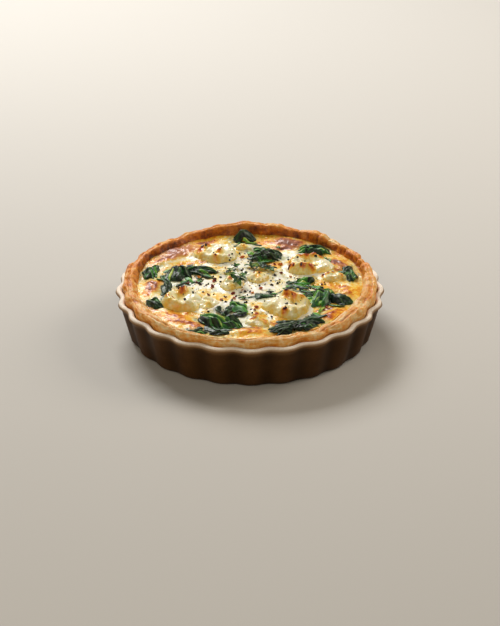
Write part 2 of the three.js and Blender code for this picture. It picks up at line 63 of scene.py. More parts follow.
DISH_RADIUS = 70.0  # over the lip
DISH_HEIGHT = 24.0
LIP_RADIUS = 66.4  # inside the lip
FLOOR_HEIGHT = 4.2  # of the floor inside the dish
FLUTES = 24
CROWN_ANGLE = math.radians(-89.4)  # at the crown of one flute
GROOVE_SHARPNESS = 2.5
CREST_HEIGHT = 28.7  # of the pastry rim
CUSTARD_LEVEL = 25.1
CUSTARD_RADIUS = 60.9
BACK_RISE = 0.9  # how much higher the custard stands at the back
CHEESE_ROUNDING = 0.55  # the smaller, the steeper a cheese's side
REST_GAP = 0.35  # between a leaf and what it lies on
SPRINKLED_RADIUS = 38.0
SPRINKLE_CLEARANCE = 1.8
SPRIG_CLEARANCE = 5.5

# Places where the rim is folded in wider, and where it puffs up: [angle, size, spread in degrees].
CRUST_WIDE_SPOTS = [(-30, 4.2, 24), (-72, 2.0, 12), (-152, 2.6, 18), (0, 1.4, 20), (180, 1.8, 22),
                    (133, 1.2, 12)]
CRUST_HIGH_SPOTS = [(93, 1.5, 17), (58, 0.8, 9), (141, 0.9, 9), (-90, 0.5, 30)]

# Rises in the custard: [x, y, half length, half width, rise, turn].
PUFFS = [
    (-40, 37, 12, 7, 1.6, 40),
    (20, 49, 9, 6, 2.0, -25),
    (-51, -2, 8, 4, 1.3, 85),
    (-37, -38.5, 10, 4.5, 2.0, -38),
    (1, -53.5, 10, 4.2, 2.4, 0),
    (51, -7, 6, 4, 1.6, 78),
    (42, -33, 8, 4, 1.7, 42),
    (-46, 26, 7, 3.5, 1.4, 20),
    (47, 26, 6, 4, 1.2, -50),
    (-1, 45, 5, 3, 1.4, -10),
    (-9, -21, 7, 4, 0.8, 20),
]

# Goat's cheese: x, y, half length, half width, height, turn, peaks [along, across, rise, spread]
# and scorched places [along, across, radius, strength], both in the piece's own turned frame.
CHEESES = {
    "cheese_back_left": (
        -18.2, 35.5, 12, 10.3, 4.2, -8,
        [(-7.2, 2.4, 2.4, 2.8), (2.2, -2.8, 2.0, 2.2), (1, -8, 0.9, 2.8), (-2.4, -3.6, -1.2, 2.6)],
        [(-7.4, 0.8, 1.0, 1.2), (-7.8, -1.4, 3.0, 0.64), (-5.2, 3, 2.0, 0.7), (2.2, -3.2, 1.3, 0.8),
         (2.2, -4.2, 2.4, 0.42),
         (1.0, -7.6, 0.8, 1.2), (1.6, -9, 3.2, 0.36), (-7.6, -5.4, 2.6, 0.3)],
    ),
    "cheese_back_right": (
        30.3, 21, 12.4, 9.8, 4.6, -8,
        [(2.5, 6, 2.8, 4.2), (-8.5, 2, 2.2, 3.0), (-2, -4.5, 1.8, 4.2), (0.5, 1, -2.8, 4.0)],
        [(-4.6, 5.4, 2.2, 0.66), (-1, 6.2, 2.6, 0.62), (3, 6.6, 2.4, 0.72), (6.6, 5.0, 1.6, 0.9),
         (-9.8, 1.6, 2.0, 0.72),
         (-9.9, -1.2, 1.8, 0.8), (-9.2, -4.0, 1.0, 1.2), (-6.6, -6.4, 0.7, 1.15),
         (-7.4, -5.0, 2.4, 0.6), (-2.4, -7.2, 0.8, 1.1),
         (-1.2, -7.0, 2.0, 0.6), (2.8, -6.4, 2.2, 0.62), (-4, -8.6, 3.4, 0.28),
         (4.6, -1, 2.4, 0.22)],
    ),
    "cheese_right": (
        43, 8.5, 6.5, 5, 2.8, 15,
        [(0, 2, 1.3, 2.6)],
        [(-4, 2, 1.2, 0.9), (-1.4, 2.6, 1.0, 1.0), (1.2, 2.2, 1.2, 0.9), (4.6, -1, 1.6, 0.6)],
    ),
    "cheese_left": (
        -34.5, -19.5, 10.5, 12, 4.6, -25,
        [(-2, 4.8, 2.8, 3.2), (-5, -5, 1.0, 3.4), (2.5, -8, 0.8, 3.2), (0, -2.4, -1.6, 3.2)],
        [(-2, 3.9, 1.5, 1.0), (-1.6, 2.8, 3.2, 0.62), (-7.6, -4.6, 2.4, 0.42),
         (-4, -9.6, 3.4, 0.30), (1.5, -10.4, 3.2, 0.34),
         (-5.6, -6.2, 1.1, 0.8), (-3, -5, 0.8, 0.9)],
    ),
    "cheese_left_tail": (-21.6, -21.8, 5.6, 6.8, 2.4, -10, [(-1, 2.6, 0.9, 2.4)],
                         [(1, -4, 2.4, 0.3), (0, 0.4, 1.6, 0.2)]),
    "cheese_front_right": (
        19.3, -26, 12, 12, 4.8, 8,
        [(0.2, 7.5, 4.2, 2.6), (-3.3, -8.8, 1.6, 2.0), (8, 2.4, 0.9, 3.2), (3, -1, -2.2, 3.4)],
        [(0.2, 6.6, 1.3, 1.2), (0.2, 4.4, 2.6, 0.64), (3.6, 4.8, 2.6, 0.55), (8.0, 1.8, 2.2, 0.48),
         (-3.3, -9.0, 1.2, 1.0), (-3.3, -9.6, 2.2, 0.58),
         (-3.6, -10, 2.6, 0.36), (-9, -4, 3.0, 0.2), (3, -11, 3.0, 0.2)],
    ),
    "cheese_middle_left": (
        -9.1, 0.2, 6.9, 6.2, 3.2, 40,
        [(-0.4, 1, 1.2, 2.4)],
        [(-0.4, 1.0, 1.6, 0.8), (-3, -3.4, 2.6, 0.34)],
    ),
    "cheese_middle": (4.6, 7.2, 5.6, 5.4, 3.2, -5, [(-0.4, 1, 1.2, 3.0)],
                      [(0.2, 2.2, 2.2, 0.62), (-0.4, -1.6, 2.4, 0.34)]),
    "cheese_front": (4.6, -43.6, 6.6, 4.2, 2.2, -15, [(-2, 1, 1.2, 2.2)],
                     [(-3.6, 1.4, 2, 0.95), (2, 1, 2, 0.7), (4, -1, 2, 0.5)]),
    "cheese_front_middle": (2.6, -33, 3.4, 4.2, 1.7, 20, [(0.5, 1, 0.8, 2.0)], [(0, -2, 1.8, 0.6)]),
    "cheese_back": (-3.2, 43, 4.6, 2.8, 2.0, -8, [(-1, 0.5, 0.9, 2.0)], [(0, -1, 2, 0.4)]),
}

# Wilted spinach: each bundle's leaves are [x, y, half length, half width, turn, fold, ridges],
# and how fresh a green each still has.
SPINACH = {
    "spinach_left_fold": [(-37.5, 13.2, 8.8, 5.6, 62, 2.8, 1, 0.18),
                          (-25.5, 17.3, 8.5, 3.2, -12, 1.4, 1, 0.3)],
    "spinach_left_strip": [(-43.4, -3.2, 6.6, 2.6, 80, 1.1, 1, 0.2)],
    "spinach_left_back": [(-52, 14.5, 8.2, 3.4, 72, 1.4, 2, 0.3)],
    "spinach_left_edge": [(-48.2, -22, 6.6, 4.1, -38, 1.6, 2, 0.2)],
    "spinach_front_left": [(-14.5, -42, 12, 5.6, -31, 2.6, 2, 0.62)],
    "spinach_front_edge": [(-26.4, -52.6, 5.4, 2.4, -14, 1.3, 1, 0.15)],
    "spinach_front_strand": [(-15, -54.6, 5, 2.2, 4, 0.9, 1, 0.15)],
    # the middle leaf's green is lightened as painted sheen
    "spinach_middle": [(-5.6, -27.4, 7, 4.8, -48, 1.6, 1, 0.62),
                       (-11.6, -30, 4.8, 2.4, 62, 1.3, 1, 0.3)],
    "spinach_centre": [(6, -12.8, 3.6, 2.2, 5, 0.5, 1, 0.25)],
    "spinach_front_right": [(22, -49.4, 12, 4.4, 22, 1.8, 2, 0.14),
                            (31.6, -42.6, 6.2, 2.4, 8, 1.4, 1, 0.18)],
    # the first right leaf's green is lightened as painted sheen
    "spinach_right": [(38, -14.5, 9.6, 5.6, 58, 2.3, 2, 0.58),
                      (46, -17, 7.5, 4.2, -20, 1.9, 2, 0.3)],
    "spinach_right_stalk": [(36.5, -28.4, 3.6, 1.1, 66, 0.8, 1, 0.9)],
    "spinach_right_curl": [(29, 5, 4.6, 2.4, 18, 1.8, 1, 0.72)],
    "spinach_right_edge": [(52.4, 11.4, 6.4, 3.4, 112, 1.5, 2, 0.3),
                           (51, 17, 4.6, 2.8, 50, 1.2, 1, 0.3)],
    "spinach_back_right": [(34.6, 41, 8.4, 4.6, -16, 1.8, 2, 0.3)],
    "spinach_back_middle": [(8.8, 33.8, 9.2, 5.2, 18, 2.0, 2, 0.25),
                            (7, 39.8, 5.6, 2.8, -14, 1.3, 1, 0.3)],
    "spinach_back_edge": [(-3, 54.6, 6.4, 4.2, 8, 4.2, 1, 0.15)],
}

# Thyme: the plan points that each stem runs through, and its whorls of leaves: how far along the
# stem each is, how many leaves it has, and their length.
THYME = {
    "thyme_left": ([(-9.9, 11.2), (-10.4, 16.2), (-7.6, 21.4)],
                   [(0.02, 5, 3.7), (0.42, 3, 3.9), (0.98, 4, 3.0)]),
    "thyme_front": ([(-6.6, -2.2), (-5.6, 2.4), (-4.4, 7.6), (-2.2, 12.6)],
                    [(0.03, 6, 4.1), (0.66, 4, 2.9), (0.95, 2, 2.6)]),
    "thyme_right": ([(-0.5, 23), (4.8, 20.4), (11, 17.6)],
                    [(0.03, 4, 3.5), (0.36, 4, 3.8), (0.56, 5, 4.4), (0.97, 5, 4.2)]),
}

# ---------------------------------------- relief and colour of the looks alone

# Rims and folds of the large cheeses: the points that each runs through, its height and its spread.
CHEESE_FOLDS = {
    "cheese_back_left": [
        ([(-8, -6), (-6.4, -5.4)], 0.9, 2.0),
        ([(-3, -7.6), (1, -8.2), (5, -6.8)], 0.8, 1.5),
        ([(-2, 6), (5, 5.5), (9, 1)], 0.8, 2.2),
    ],
    "cheese_back_right": [
        ([(-6, 5), (2, 6.8), (8, 4.6)], 1.0, 1.6),
        ([(-9.8, 1.5), (-9.6, -3.5), (-6, -6.6), (0, -7.2), (4, -5.4)], 1.5, 1.3),
        ([(-4, -1), (0, 0.6)], -1.0, 3.0),
        ([(5, -3.6), (6.6, -6.6)], -1.2, 1.4),
        ([(8, -6), (10.6, -3)], 0.9, 1.4),
    ],
    "cheese_left": [
        ([(-7.4, -1), (-6.6, -6), (-2, -9.6), (3.4, -9.6), (7.6, -5.6)], 1.4, 2.0),
        ([(-1.4, -2.6), (2.4, -4.4)], -1.2, 2.4),
        ([(5.4, -2), (8.6, 1.4)], -1.0, 1.2),
    ],
    "cheese_front_right": [
        ([(3, 5.8), (6, 3.6), (10, 0)], 1.3, 1.5),
        ([(10, 0), (10.4, -4), (7, -8.6), (2, -10)], 1.6, 1.9),
        ([(4, 1.4), (6.4, -3.6)], -1.6, 2.2),
        ([(-6, 3), (-8.6, -3)], 0.7, 2.4),
        ([(-0.6, -6), (0.6, -10.6)], -1.1, 1.1),
    ],
    "cheese_left_tail": [([(-2.4, 3), (0.4, -0.6)], 0.7, 1.3), ([(-2.6, -1), (2, -3)], 0.8, 1.3),
                         ([(-1.6, 1), (2.4, 1.6)], -0.8, 0.9)],
    "cheese_right": [([(-4, -2.4), (0, -3.4), (4, -2)], 0.8, 1.2), ([(-2, 0), (2, 0)], -0.9, 1.8)],
    "cheese_middle_left": [([(-3, 1.6), (0.6, 3.2)], 0.8, 1.5), ([(1, -2), (3.4, 0.6)], 0.5, 1.6)],
    "cheese_front": [([(-4, 1.4), (0, 0.6), (4, -1)], 0.5, 1.2)],
}

# Long folds and blades of leaf that stand out on the bundles: the plan points that each runs
# through, its half width, how fresh its green is and how high it folds.
BLADES = {
    "spinach_left_fold": [
        ([(-45, 12), (-43, 7), (-41.6, 3)], 1.2, 0.3, 0.5),
        ([(-40, 15), (-42.3, 9), (-42, 4.5)], 1.2, 0.95, 0.9),
        ([(-43.6, 6), (-41, 14.5), (-36, 18.6)], 1.7, 0.05, 1.2),
        ([(-37, 18.4), (-33, 12.5), (-30.6, 7)], 1.9, 0.04, 1.3),
        ([(-39, 15), (-37.6, 9), (-38.4, 4.4)], 1.6, 0.08, 1.0),
        ([(-34.6, 17.5), (-28, 14), (-21.4, 8.6)], 1.2, 0.08, 0.9),
        ([(-33.4, 9.4), (-31.4, 6), (-29.6, 4.6)], 1.3, 0.9, 0.6),
        ([(-35, 18.4), (-31, 18.8), (-27.4, 18)], 0.9, 0.8, 0.5),
        ([(-29, 19.4), (-24, 18.4), (-18.6, 17)], 1.0, 0.34, 0.5),
        ([(-31, 15), (-25, 12), (-18.4, 8)], 0.8, 0.42, 0.4),
        ([(-27, 16.4), (-22.6, 15), (-18, 14.4)], 0.9, 0.12, 0.5),
    ],
    "spinach_left_strip": [
        ([(-44.6, 4.4), (-43.6, -2), (-42.6, -9.4)], 0.8, 0.03, 0.5),
        ([(-41.8, 3.4), (-41.2, -3), (-42.4, -8.6)], 0.7, 0.1, 0.5),
        ([(-38.6, -1), (-36, 1), (-33.4, 3.4)], 0.9, 0.12, 0.5),
        ([(-48.6, 8), (-46, 6), (-44, 6.4)], 1.1, 0.6, 0.5),
    ],
    "spinach_left_back": [
        ([(-54, 21), (-52.8, 14), (-50.4, 7.4)], 1.7, 0.34, 0.8),
        ([(-50.8, 20), (-50, 14), (-49, 9)], 1.2, 0.5, 0.7),
    ],
    "spinach_left_edge": [
        ([(-53, -18), (-49, -22), (-44, -26)], 1.6, 0.36, 0.7),
        ([(-50, -17), (-46.4, -20), (-43.4, -24)], 1.3, 0.42, 0.8),
        ([(-51, -22), (-48, -25), (-45, -27)], 1.0, 0.2, 0.5),
    ],
    "spinach_front_left": [
        ([(-25.6, -34.6), (-19, -38.4), (-12.2, -45), (-4.6, -49.4)], 1.5, 0.8, 1.3),
        ([(-24.6, -36), (-18.4, -41.6), (-13.6, -49.6)], 1.0, 0.7, 1.0),
        ([(-25, -36.4), (-22.8, -42), (-20.4, -46.6)], 2.0, 0.06, 0.9),
        ([(-20.6, -40.6), (-16.8, -45.6), (-14.8, -50.6)], 1.5, 0.04, 0.9),
        ([(-16.4, -40), (-11, -45.6), (-6.4, -50.4)], 1.2, 0.2, 0.8),
        ([(-20.6, -43), (-17, -49), (-11.4, -53)], 1.2, 0.34, 0.5),
        ([(-12, -39), (-8, -43.4), (-3.6, -47)], 1.3, 0.08, 0.9),
        ([(-10, -45), (-6, -47.6), (-2.4, -49)], 1.0, 0.46, 0.4),
    ],
    "spinach_middle": [
        # a near-black blade along the front rim of the middle leaf: painted shade under it
        ([(-8.6, -32), (-4.6, -34.4), (-1.4, -31.6)], 1.2, 0.04, 0.6),
        ([(-15, -24.8), (-16.2, -28.8), (-13.8, -32)], 1.5, 0.14, 1.1),
        ([(-12.6, -31.4), (-9.6, -35.6), (-7, -37.4)], 1.2, 0.1, 0.5),
        ([(-10.4, -21.6), (-5.6, -23.6), (-1.4, -27.4)], 1.0, 0.1, 0.6),
    ],
    "spinach_front_right": [
        ([(9.6, -54), (14.6, -52.6), (20, -52)], 0.8, 0.06, 0.5),
        ([(13, -51), (16.6, -47.8), (19.6, -45)], 1.9, 0.44, 0.7),
        ([(18.6, -52.4), (21.4, -48.4), (23.6, -45)], 2.0, 0.04, 1.0),
        ([(22, -51.6), (26, -48.6), (29, -46)], 1.8, 0.08, 1.0),
        ([(25.6, -49), (30, -46.8), (34, -45.6)], 1.2, 0.05, 0.6),
        ([(26, -50.6), (30.4, -48.6), (33.4, -46.6)], 0.7, 0.5, 0.5),
        ([(23, -43), (29, -42), (37.6, -41.4)], 0.9, 0.4, 0.5),
        ([(26, -44.4), (32, -43.4), (37, -42.6)], 0.7, 0.06, 0.4),
        ([(14, -48), (19.6, -45.6), (25, -44.4)], 1.8, 0.12, 0.7),
        ([(24.4, -46.6), (29.6, -44.8), (35, -43.6)], 1.8, 0.05, 0.8),
        ([(12, -53), (17, -50.6), (22, -49.6)], 1.9, 0.08, 0.8),
        ([(28, -43.6), (32.4, -41), (36.4, -40.8)], 1.1, 0.3, 0.5),
    ],
    "spinach_right": [
        ([(31.4, -24.6), (34, -19), (38.4, -12.6)], 2.5, 0.62, 0.9),
        ([(37, -24.4), (39, -18), (38.8, -11.6)], 2.4, 0.34, 1.1),
        ([(41, -14.4), (44.6, -18.6), (48.6, -23.4)], 2.1, 0.05, 1.0),
        ([(41.6, -13), (46.4, -16), (51.6, -20.6)], 1.6, 0.1, 0.9),
        ([(31.8, -11.4), (37, -8.8), (42.4, -11.8)], 1.1, 0.05, 0.9),
        ([(27.4, -15.6), (31, -15), (35, -13.4)], 1.2, 0.75, 0.6),
        ([(40, -22), (44.6, -24), (48.6, -25.4)], 1.2, 0.5, 0.5),
    ],
    "spinach_right_curl": [([(24.4, 3.4), (28, 2), (31.6, 2.6)], 1.0, 0.85, 0.7),
                           ([(30, 3), (32, 5), (31.4, 8)], 1.6, 0.04, 1.2)],
    "spinach_right_edge": [
        ([(49.6, 16), (52, 18.6), (54, 21)], 1.3, 0.06, 0.8),
        ([(46, 14.6), (49.6, 16)], 1.2, 0.45, 0.4),
        ([(53, 17), (53, 11), (54, 5)], 1.4, 0.32, 0.7),
        ([(49.6, 12.4), (52, 7)], 1.2, 0.42, 0.5),
    ],
    "spinach_back_right": [
        ([(29.6, 37.6), (32.6, 42.4), (36.6, 44)], 1.9, 0.28, 0.9),
        ([(30.6, 38), (35, 39.4), (38, 37.6)], 1.8, 0.45, 0.6),
        ([(26, 38.4), (29.4, 39.4), (32, 38.6)], 1.0, 0.8, 0.5),
        ([(36, 41), (39.6, 39), (43.4, 37)], 0.9, 0.65, 0.5),
    ],
    "spinach_back_middle": [
        ([(-1, 36), (3, 33), (7.6, 29.6)], 1.2, 0.06, 0.9),
        ([(1, 38), (5.6, 37), (10.4, 38)], 1.2, 0.46, 0.7),
        ([(5.6, 36), (10, 32), (15.6, 30)], 2.0, 0.05, 1.1),
        ([(9, 38.4), (13, 36.4), (16.4, 31.4)], 1.8, 0.1, 1.0),
        ([(4.2, 28.4), (8.6, 27.6), (13.4, 29)], 1.6, 0.5, 0.5),
        ([(-1.6, 39.4), (0.6, 37.4), (3.4, 36.4)], 1.1, 1.0, 0.5),
        ([(6, 41.4), (10, 41.8), (14, 40.4)], 0.8, 1.0, 0.4),
        ([(-1.6, 33), (2, 30), (6, 28)], 1.0, 0.3, 0.6),
    ],
    "spinach_back_edge": [
        ([(-8, 52), (-4, 55.6), (-0.4, 57.6)], 1.8, 0.05, 0.9),
        ([(-7.4, 51.8), (-2.8, 53.8), (2, 52)], 2.2, 0.03, 1.8),
        ([(-4, 51.4), (0, 51), (4, 50.4)], 0.9, 1.0, 0.4),
    ],
}

# Broad pieces of leaf that tore off and lie loose on the custard, given as the blades are.
LOOSE_LEAVES = [
    ([(22.4, 1.4), (26.4, -1.6), (30.6, -3.6)], 1.9, 0.46, 0.5),
    ([(26.4, -5.6), (30.4, -7.6), (34.4, -7)], 1.7, 0.3, 0.5),
    ([(32, -1), (34.6, -3.6), (38, -5)], 1.3, 0.6, 0.4),
    ([(12.6, -46.6), (17.4, -43.6), (23, -42.6)], 1.8, 0.06, 0.5),
    ([(19.6, -42.4), (24.6, -41), (29.6, -39.6)], 1.5, 0.16, 0.4),
    ([(9, -51.6), (13.6, -48.4), (18, -47.4)], 1.4, 0.1, 0.4),
    ([(13, -42), (18.4, -40.4), (24.6, -39.6)], 1.4, 0.12, 0.5),
    ([(24, -44.6), (29, -42.4), (34, -41.6)], 1.5, 0.3, 0.5),
    ([(-46.4, 11.4), (-45, 6.6), (-42.6, 2.4)], 1.3, 0.24, 0.4),
    ([(-18, -48), (-13.6, -50.6), (-8.4, -52)], 1.6, 0.3, 0.5),
    ([(-22.6, -46.4), (-20, -50), (-16.4, -52.6)], 1.5, 0.2, 0.5),
    ([(3, -15.4), (8, -13), (12.4, -12.6)], 1.7, 0.34, 0.4),
    ([(29.4, -39.4), (34, -36.8), (39, -36.2)], 1.6, 0.3, 0.4),
    ([(32.4, -31), (33.6, -33.6), (35.6, -36)], 1.5, 0.5, 0.3),
]

# Bits of leaf that sank into the wet custard: [x, y, half length, half width, turn].
SUNKEN_LEAVES = [
    (2, -13, 5, 1.7, 10), (8, -10.4, 4.6, 1.5, -12), (17, -8, 5, 2.0, 20), (23, -5, 5, 1.4, -25),
    (31, -10, 4, 1.2, 30),
    (33, -1, 4, 1.6, -10), (22, 1.5, 4, 1.4, 15), (-44, 12, 4, 1.8, 60), (-45, -14, 3.4, 1.6, 70),
    (-24, 10, 5, 1.5, -15),
    (-30, 5, 4, 1.2, 30), (-9, -47, 5, 2.4, 10), (-20, -52, 5, 2.0, -12), (30, -36, 3.4, 1.6, 50),
    (-15, 26, 3.0, 1.2, 20), (41, 31, 4, 1.4, -20), (-34, 22, 4, 1.2, 25), (-3, 49.5, 6, 1.8, 4),
    (12, 41, 4, 1.6, 12),
]

# Where the custard took colour: [x, y, half length, half width, turn, browning, skin with a painted
# sheen].
BROWNED_PATCHES = [
    (-39, 39, 13, 7, 40, 0.62, 0.9),
    (-46, 28, 8, 2.6, 30, 0.75, 0.1),
    (-29, 27, 8, 2.4, 10, 0.55, 0.0),
    (21, 49.5, 10, 5.5, -22, 0.95, 0.75),
    (8, 51, 7, 3, -4, 0.7, 0.1),
    (19, 43.5, 7, 2, -8, 0.8, 0.5),
    (-24, 51, 8, 2.4, 22, 0.6, 0.3),
    (-50.5, -1.5, 6.5, 4.2, 85, 0.8, 0.3),
    (-53, -10, 5, 3, 80, 0.5, 0.0),
    (-38.5, -36.5, 11, 7.0, -38, 0.62, 0.0),
    (-29, -44, 7, 3.4, -25, 0.60, 0.0),
    (1, -53.5, 11, 4.0, 0, 0.46, 0.0),
    (-3, -49.5, 9, 1.5, 4, 0.85, 0.3),
    (14, -44.5, 6, 2, -14, 0.75, 0.5),
    (51, -7, 6.5, 4.4, 78, 0.52, 0.0),
    (49, -2, 2, 4, 60, 0.7, 0.1),
    (42, -33, 8.5, 4.6, 42, 0.62, 0.0),
    (38, -27.5, 6, 1.6, 20, 0.85, 0.3),
    (47, 25, 8, 4, -50, 0.68, 0.55),
    (43, 20, 6, 2, -30, 0.8, 0.3),
    (36, 31, 7, 2.2, -30, 0.4, 0.3),
    (-20, -36, 8, 4.6, -30, 0.5, 0.0),
    (-29, -34, 6, 3, -30, 0.45, 0.0),
    (-49, -28, 8, 3.2, -50, 0.55, 0.1),
    (-47, 6, 5, 3, 80, 0.48, 0.0),
    (-12, -54, 8, 2.6, -6, 0.5, 0.0),
    (32, -50, 8, 2.6, 35, 0.5, 0.0),
    (49, -22, 6, 3, 60, 0.45, 0.0),
    (-21, -14, 5, 4, 20, 0.25, 0.0),
    (-37, 24, 7, 4, 30, 0.42, 0.0),
]

# Chilli flakes besides those of the part: [x, y, width].
CHILLI_FLAKES = [
    (-19, 4, 2.4), (-28, 4, 2.6), (1.3, -8.5, 2.6), (0.8, -30, 2.4), (-13.5, -31, 3.4),
    (-28, 22, 2.0), (-17.4, 16, 2.2),
    (-12.5, -13, 1.8), (-20, -3, 1.8), (21.3, 10.5, 2.2), (15.5, 7.4, 1.8), (37.6, 1, 2.4),
    (33.8, -4.4, 1.8),
    (39, -25, 2.6), (13, 24.7, 2.2), (42.5, -15, 2.4), (-11, 29.5, 2.0),
]

CHEESE_FOLD_DEPTH = 1.3  # times the heights in the table
COLLAR_HEIGHT, COLLAR_REACH = 0.85, 1.7  # of the custard where it climbs a cheese's foot

# The pastry rim: the radius of its middle, the number of its pinched lobes, and places given as
# [angle, strength, spread in degrees] where it is pinched, folded, folded again, and baked darker.
RIM_RADIUS = 63.0
LOBES = 66
PINCHED_SPOTS = [(42, 1.0, 30), (150, 0.48, 24), (-15, 0.3, 20), (185, 0.3, 25)]
FOLDED_SPOTS = [(-50, 0.85, 42), (-140, 0.8, 30)]
SECOND_FOLD_SPOTS = [(-30, 1.0, 35), (-150, 0.8, 30), (0, 0.6, 25), (180, 0.5, 25)]
BAKED_SPOTS = [(180, 0.12, 30), (135, 0.02, 22), (60, -0.14, 22), (0, 0.08, 26), (-90, -0.05, 45)]

# The hash that gives each corner of a grid its own random number.
CORNER_PRIMES = (374761393, 668265263, 1440662683)
SEED_PRIME, MIXING_PRIME, LOW_BITS = 974634777, 1274126177, 0xFFFFFFFF

# ---------------------------------------- forms


def points_at(x, y, z):
    """Points from their coordinates, each an array or one number for all."""
    return np.stack(np.broadcast_arrays(x, y, z), axis=-1).astype(float)


def round_axis(radius, angle, height):
    """Points at a radius, an angle and a height round the Z axis."""
    return points_at(radius * np.cos(angle), radius * np.sin(angle), height)


def seeded(seed):
    """A repeatable stream of numbers from 0 to 1."""
    state, step, end = seed, 16807, 2147483647

    def draw():
        nonlocal state
        state = state * step % end
        return state / end

    return draw


def unevenness(x, y, wavelength, seed):
    """Smooth unevenness between about -1 and 1: three waves that cross at odd angles."""
    k = 2 * math.pi / wavelength
    first = np.sin(k * (0.96 * x + 0.28 * y) + 1.7 * seed)
    second = np.sin(1.27 * k * (0.9 * y - 0.43 * x) + 2.9 * seed)
    third = np.sin(0.81 * k * (0.62 * x - 0.78 * y) + 4.3 * seed)
    return (first + second + third) / 3


def lumps(x, y, z, size, seed, octaves=1):
    """Random relief from about -1 to 1 with lumps of a size; each further octave is half of it."""
    total, weight = 0.0, 0.0
    for octave in range(octaves):
        step = size / 2**octave
        places = [np.asarray(v, float) / step + 31.7 * (octave + 1) + seed for v in (x, y, z)]
        cells = [np.floor(v).astype(np.int64) for v in places]
        soft = [t * t * (3 - 2 * t) for t in (v - c for v, c in zip(places, cells))]
        value = 0.0
        for corner in range(8):
            bits = [corner & 1, corner >> 1 & 1, corner >> 2 & 1]
            n = sum((c + b) * prime for c, b, prime in zip(cells, bits, CORNER_PRIMES))
            n = (n + seed * SEED_PRIME) & LOW_BITS
            n = ((n ^ (n >> 13)) * MIXING_PRIME) & LOW_BITS
            share = 1.0
            for b, s in zip(bits, soft):
                share = share * (s if b else 1 - s)
            value = value + share * (((n ^ (n >> 16)) & 0xFFFF) / 32767.5 - 1)
        total = total + value / 1.6**octave
        weight += 1 / 1.6**octave
    return 1.4 * total / weight


def ramped(low, high, value):
    """0 below low and 1 above high, with a smooth slope between them."""
    t = np.clip((value - low) / (high - low), 0, 1)
    return t * t * (3 - 2 * t)


def bumps_round(bumps, angle):
    """The sum at an angle of bumps given as [angle, height, spread] in degrees round a circle."""
    total = 0.0
    for at, height, spread in bumps:
        away = (np.degrees(angle) - at + 180) % 360 - 180
        total = total + height * np.exp(-((away / spread) ** 2))
    return total


def into_frame(x, y, at_x, at_y, turn):
    """A plan point in the frame of something that lies at a place, turned by so many degrees."""
    c, s = math.cos(math.radians(turn)), math.sin(math.radians(turn))
    return c * (x - at_x) + s * (y - at_y), c * (y - at_y) - s * (x - at_x)


def out_of_frame(along, across, at_x, at_y, turn):
    """The way back from that frame to plan."""
    c, s = math.cos(math.radians(turn)), math.sin(math.radians(turn))
    return at_x + c * along - s * across, at_y + s * along + c * across


def groove(angle):
    """0 on a flute's crown and 1 in the groove between two flutes."""
    return np.abs(np.sin(FLUTES * (angle - CROWN_ANGLE) / 2)) ** GROOVE_SHARPNESS


def pastry_wander(angle, seed):
    """How far the pastry wanders from its mean line."""
    return unevenness(DISH_RADIUS * np.cos(angle), DISH_RADIUS * np.sin(angle), 24, seed)


def crest_height(angle):
    """The height of the pastry rim's crest."""
    tilt = 1.7 * np.sin(angle)
    return CREST_HEIGHT + tilt + 0.7 * pastry_wander(angle, 3) + bumps_round(CRUST_HIGH_SPOTS, angle)


def crust_inner(angle):
    """The radius at which the custard meets the pastry."""
    wander = 0.5 * pastry_wander(angle, 5) - 0.4 * groove(angle)
    return CUSTARD_RADIUS + wander - bumps_round(CRUST_WIDE_SPOTS, angle)


def custard_top(x, y):
    """The custard's height without its fine relief."""
    z = CUSTARD_LEVEL + 0.28 * unevenness(x, y, 17, 1)
    for at_x, at_y, long, wide, rise, turn in PUFFS:
        along, across = into_frame(x, y, at_x, at_y, turn)
        z = z + rise * np.exp(-((along / long) ** 2) - (across / wide) ** 2)
    return z + BACK_RISE * (np.maximum(0, y) / CUSTARD_RADIUS) ** 2


def custard_colour(x, y):
    """How browned the custard is at a plan point, and how much shiny skin it has there."""
    ragged = 0.5 * lumps(x, y, 0, 4.2, 3, 3) + 0.22 * lumps(x, y, 5, 1.3, 8, 2)
    r = np.hypot(x, y)
    browned = 0.36 * ramped(4, 30, r) * ramped(-0.3, 0.55, lumps(x, y, 9, 8, 11, 3))
    browned = np.maximum(browned, ramped(44, 57, r) * (0.33 + 0.16 * unevenness(x, y, 19, 9)))
    skin = 0.0
    for at_x, at_y, long, wide, turn, strength, skin_sheen in BROWNED_PATCHES:
        along, across = into_frame(x, y, at_x, at_y, turn)
        reach = np.exp(-((along / long) ** 4) - (np.abs(across) / wide) ** 3)
        # streaks run along the patch
        streaks = 1 - np.abs(lumps(along / 2.6, across, at_x, 1.7, 12, 2))
        browned = np.maximum(browned, strength * (0.72 + 0.5 * streaks**2) * reach)
        skin = np.maximum(skin, skin_sheen * (1.25 - 0.6 * streaks) * reach)
    browned = np.clip(browned * (1 + 0.8 * ragged) + 0.06 * ragged, 0, 1)
    return browned, np.clip(skin * (1.1 + ragged), 0, 1)


def custard_relief(x, y):
    """The custard's height with its fine relief: wet lumps, and wrinkles where it browned."""
    browned, skin = custard_colour(x, y)
    wet = 0.20 * lumps(x, y, 0, 6, 21) + 0.13 * lumps(x, y, 0, 2.6, 22, 2)
    wrinkle = 1 - np.abs(lumps(x, y, 0, 3.2, 23, 2))
    z = custard_top(x, y) + wet * (1 - 0.5 * browned)
    collar = 0.0
    for cheese in CHEESES.values():
        along, across = into_frame(x, y, cheese[0], cheese[1], cheese[5])
        away = np.hypot(along, across) - cheese_outline(cheese, np.arctan2(across, along))
        collar = np.maximum(collar, np.exp(-((np.maximum(away, 0) / COLLAR_REACH) ** 2)))
    z = z + COLLAR_HEIGHT * collar * (0.8 + 0.5 * lumps(x, y, 0, 3.4, 24, 2))
    z = z + (1.0 * browned + 0.45 * skin) * (wrinkle - 0.6)
    return z + 0.35 * ramped(57, 61, np.hypot(x, y))  # its edge creeps up the pastry


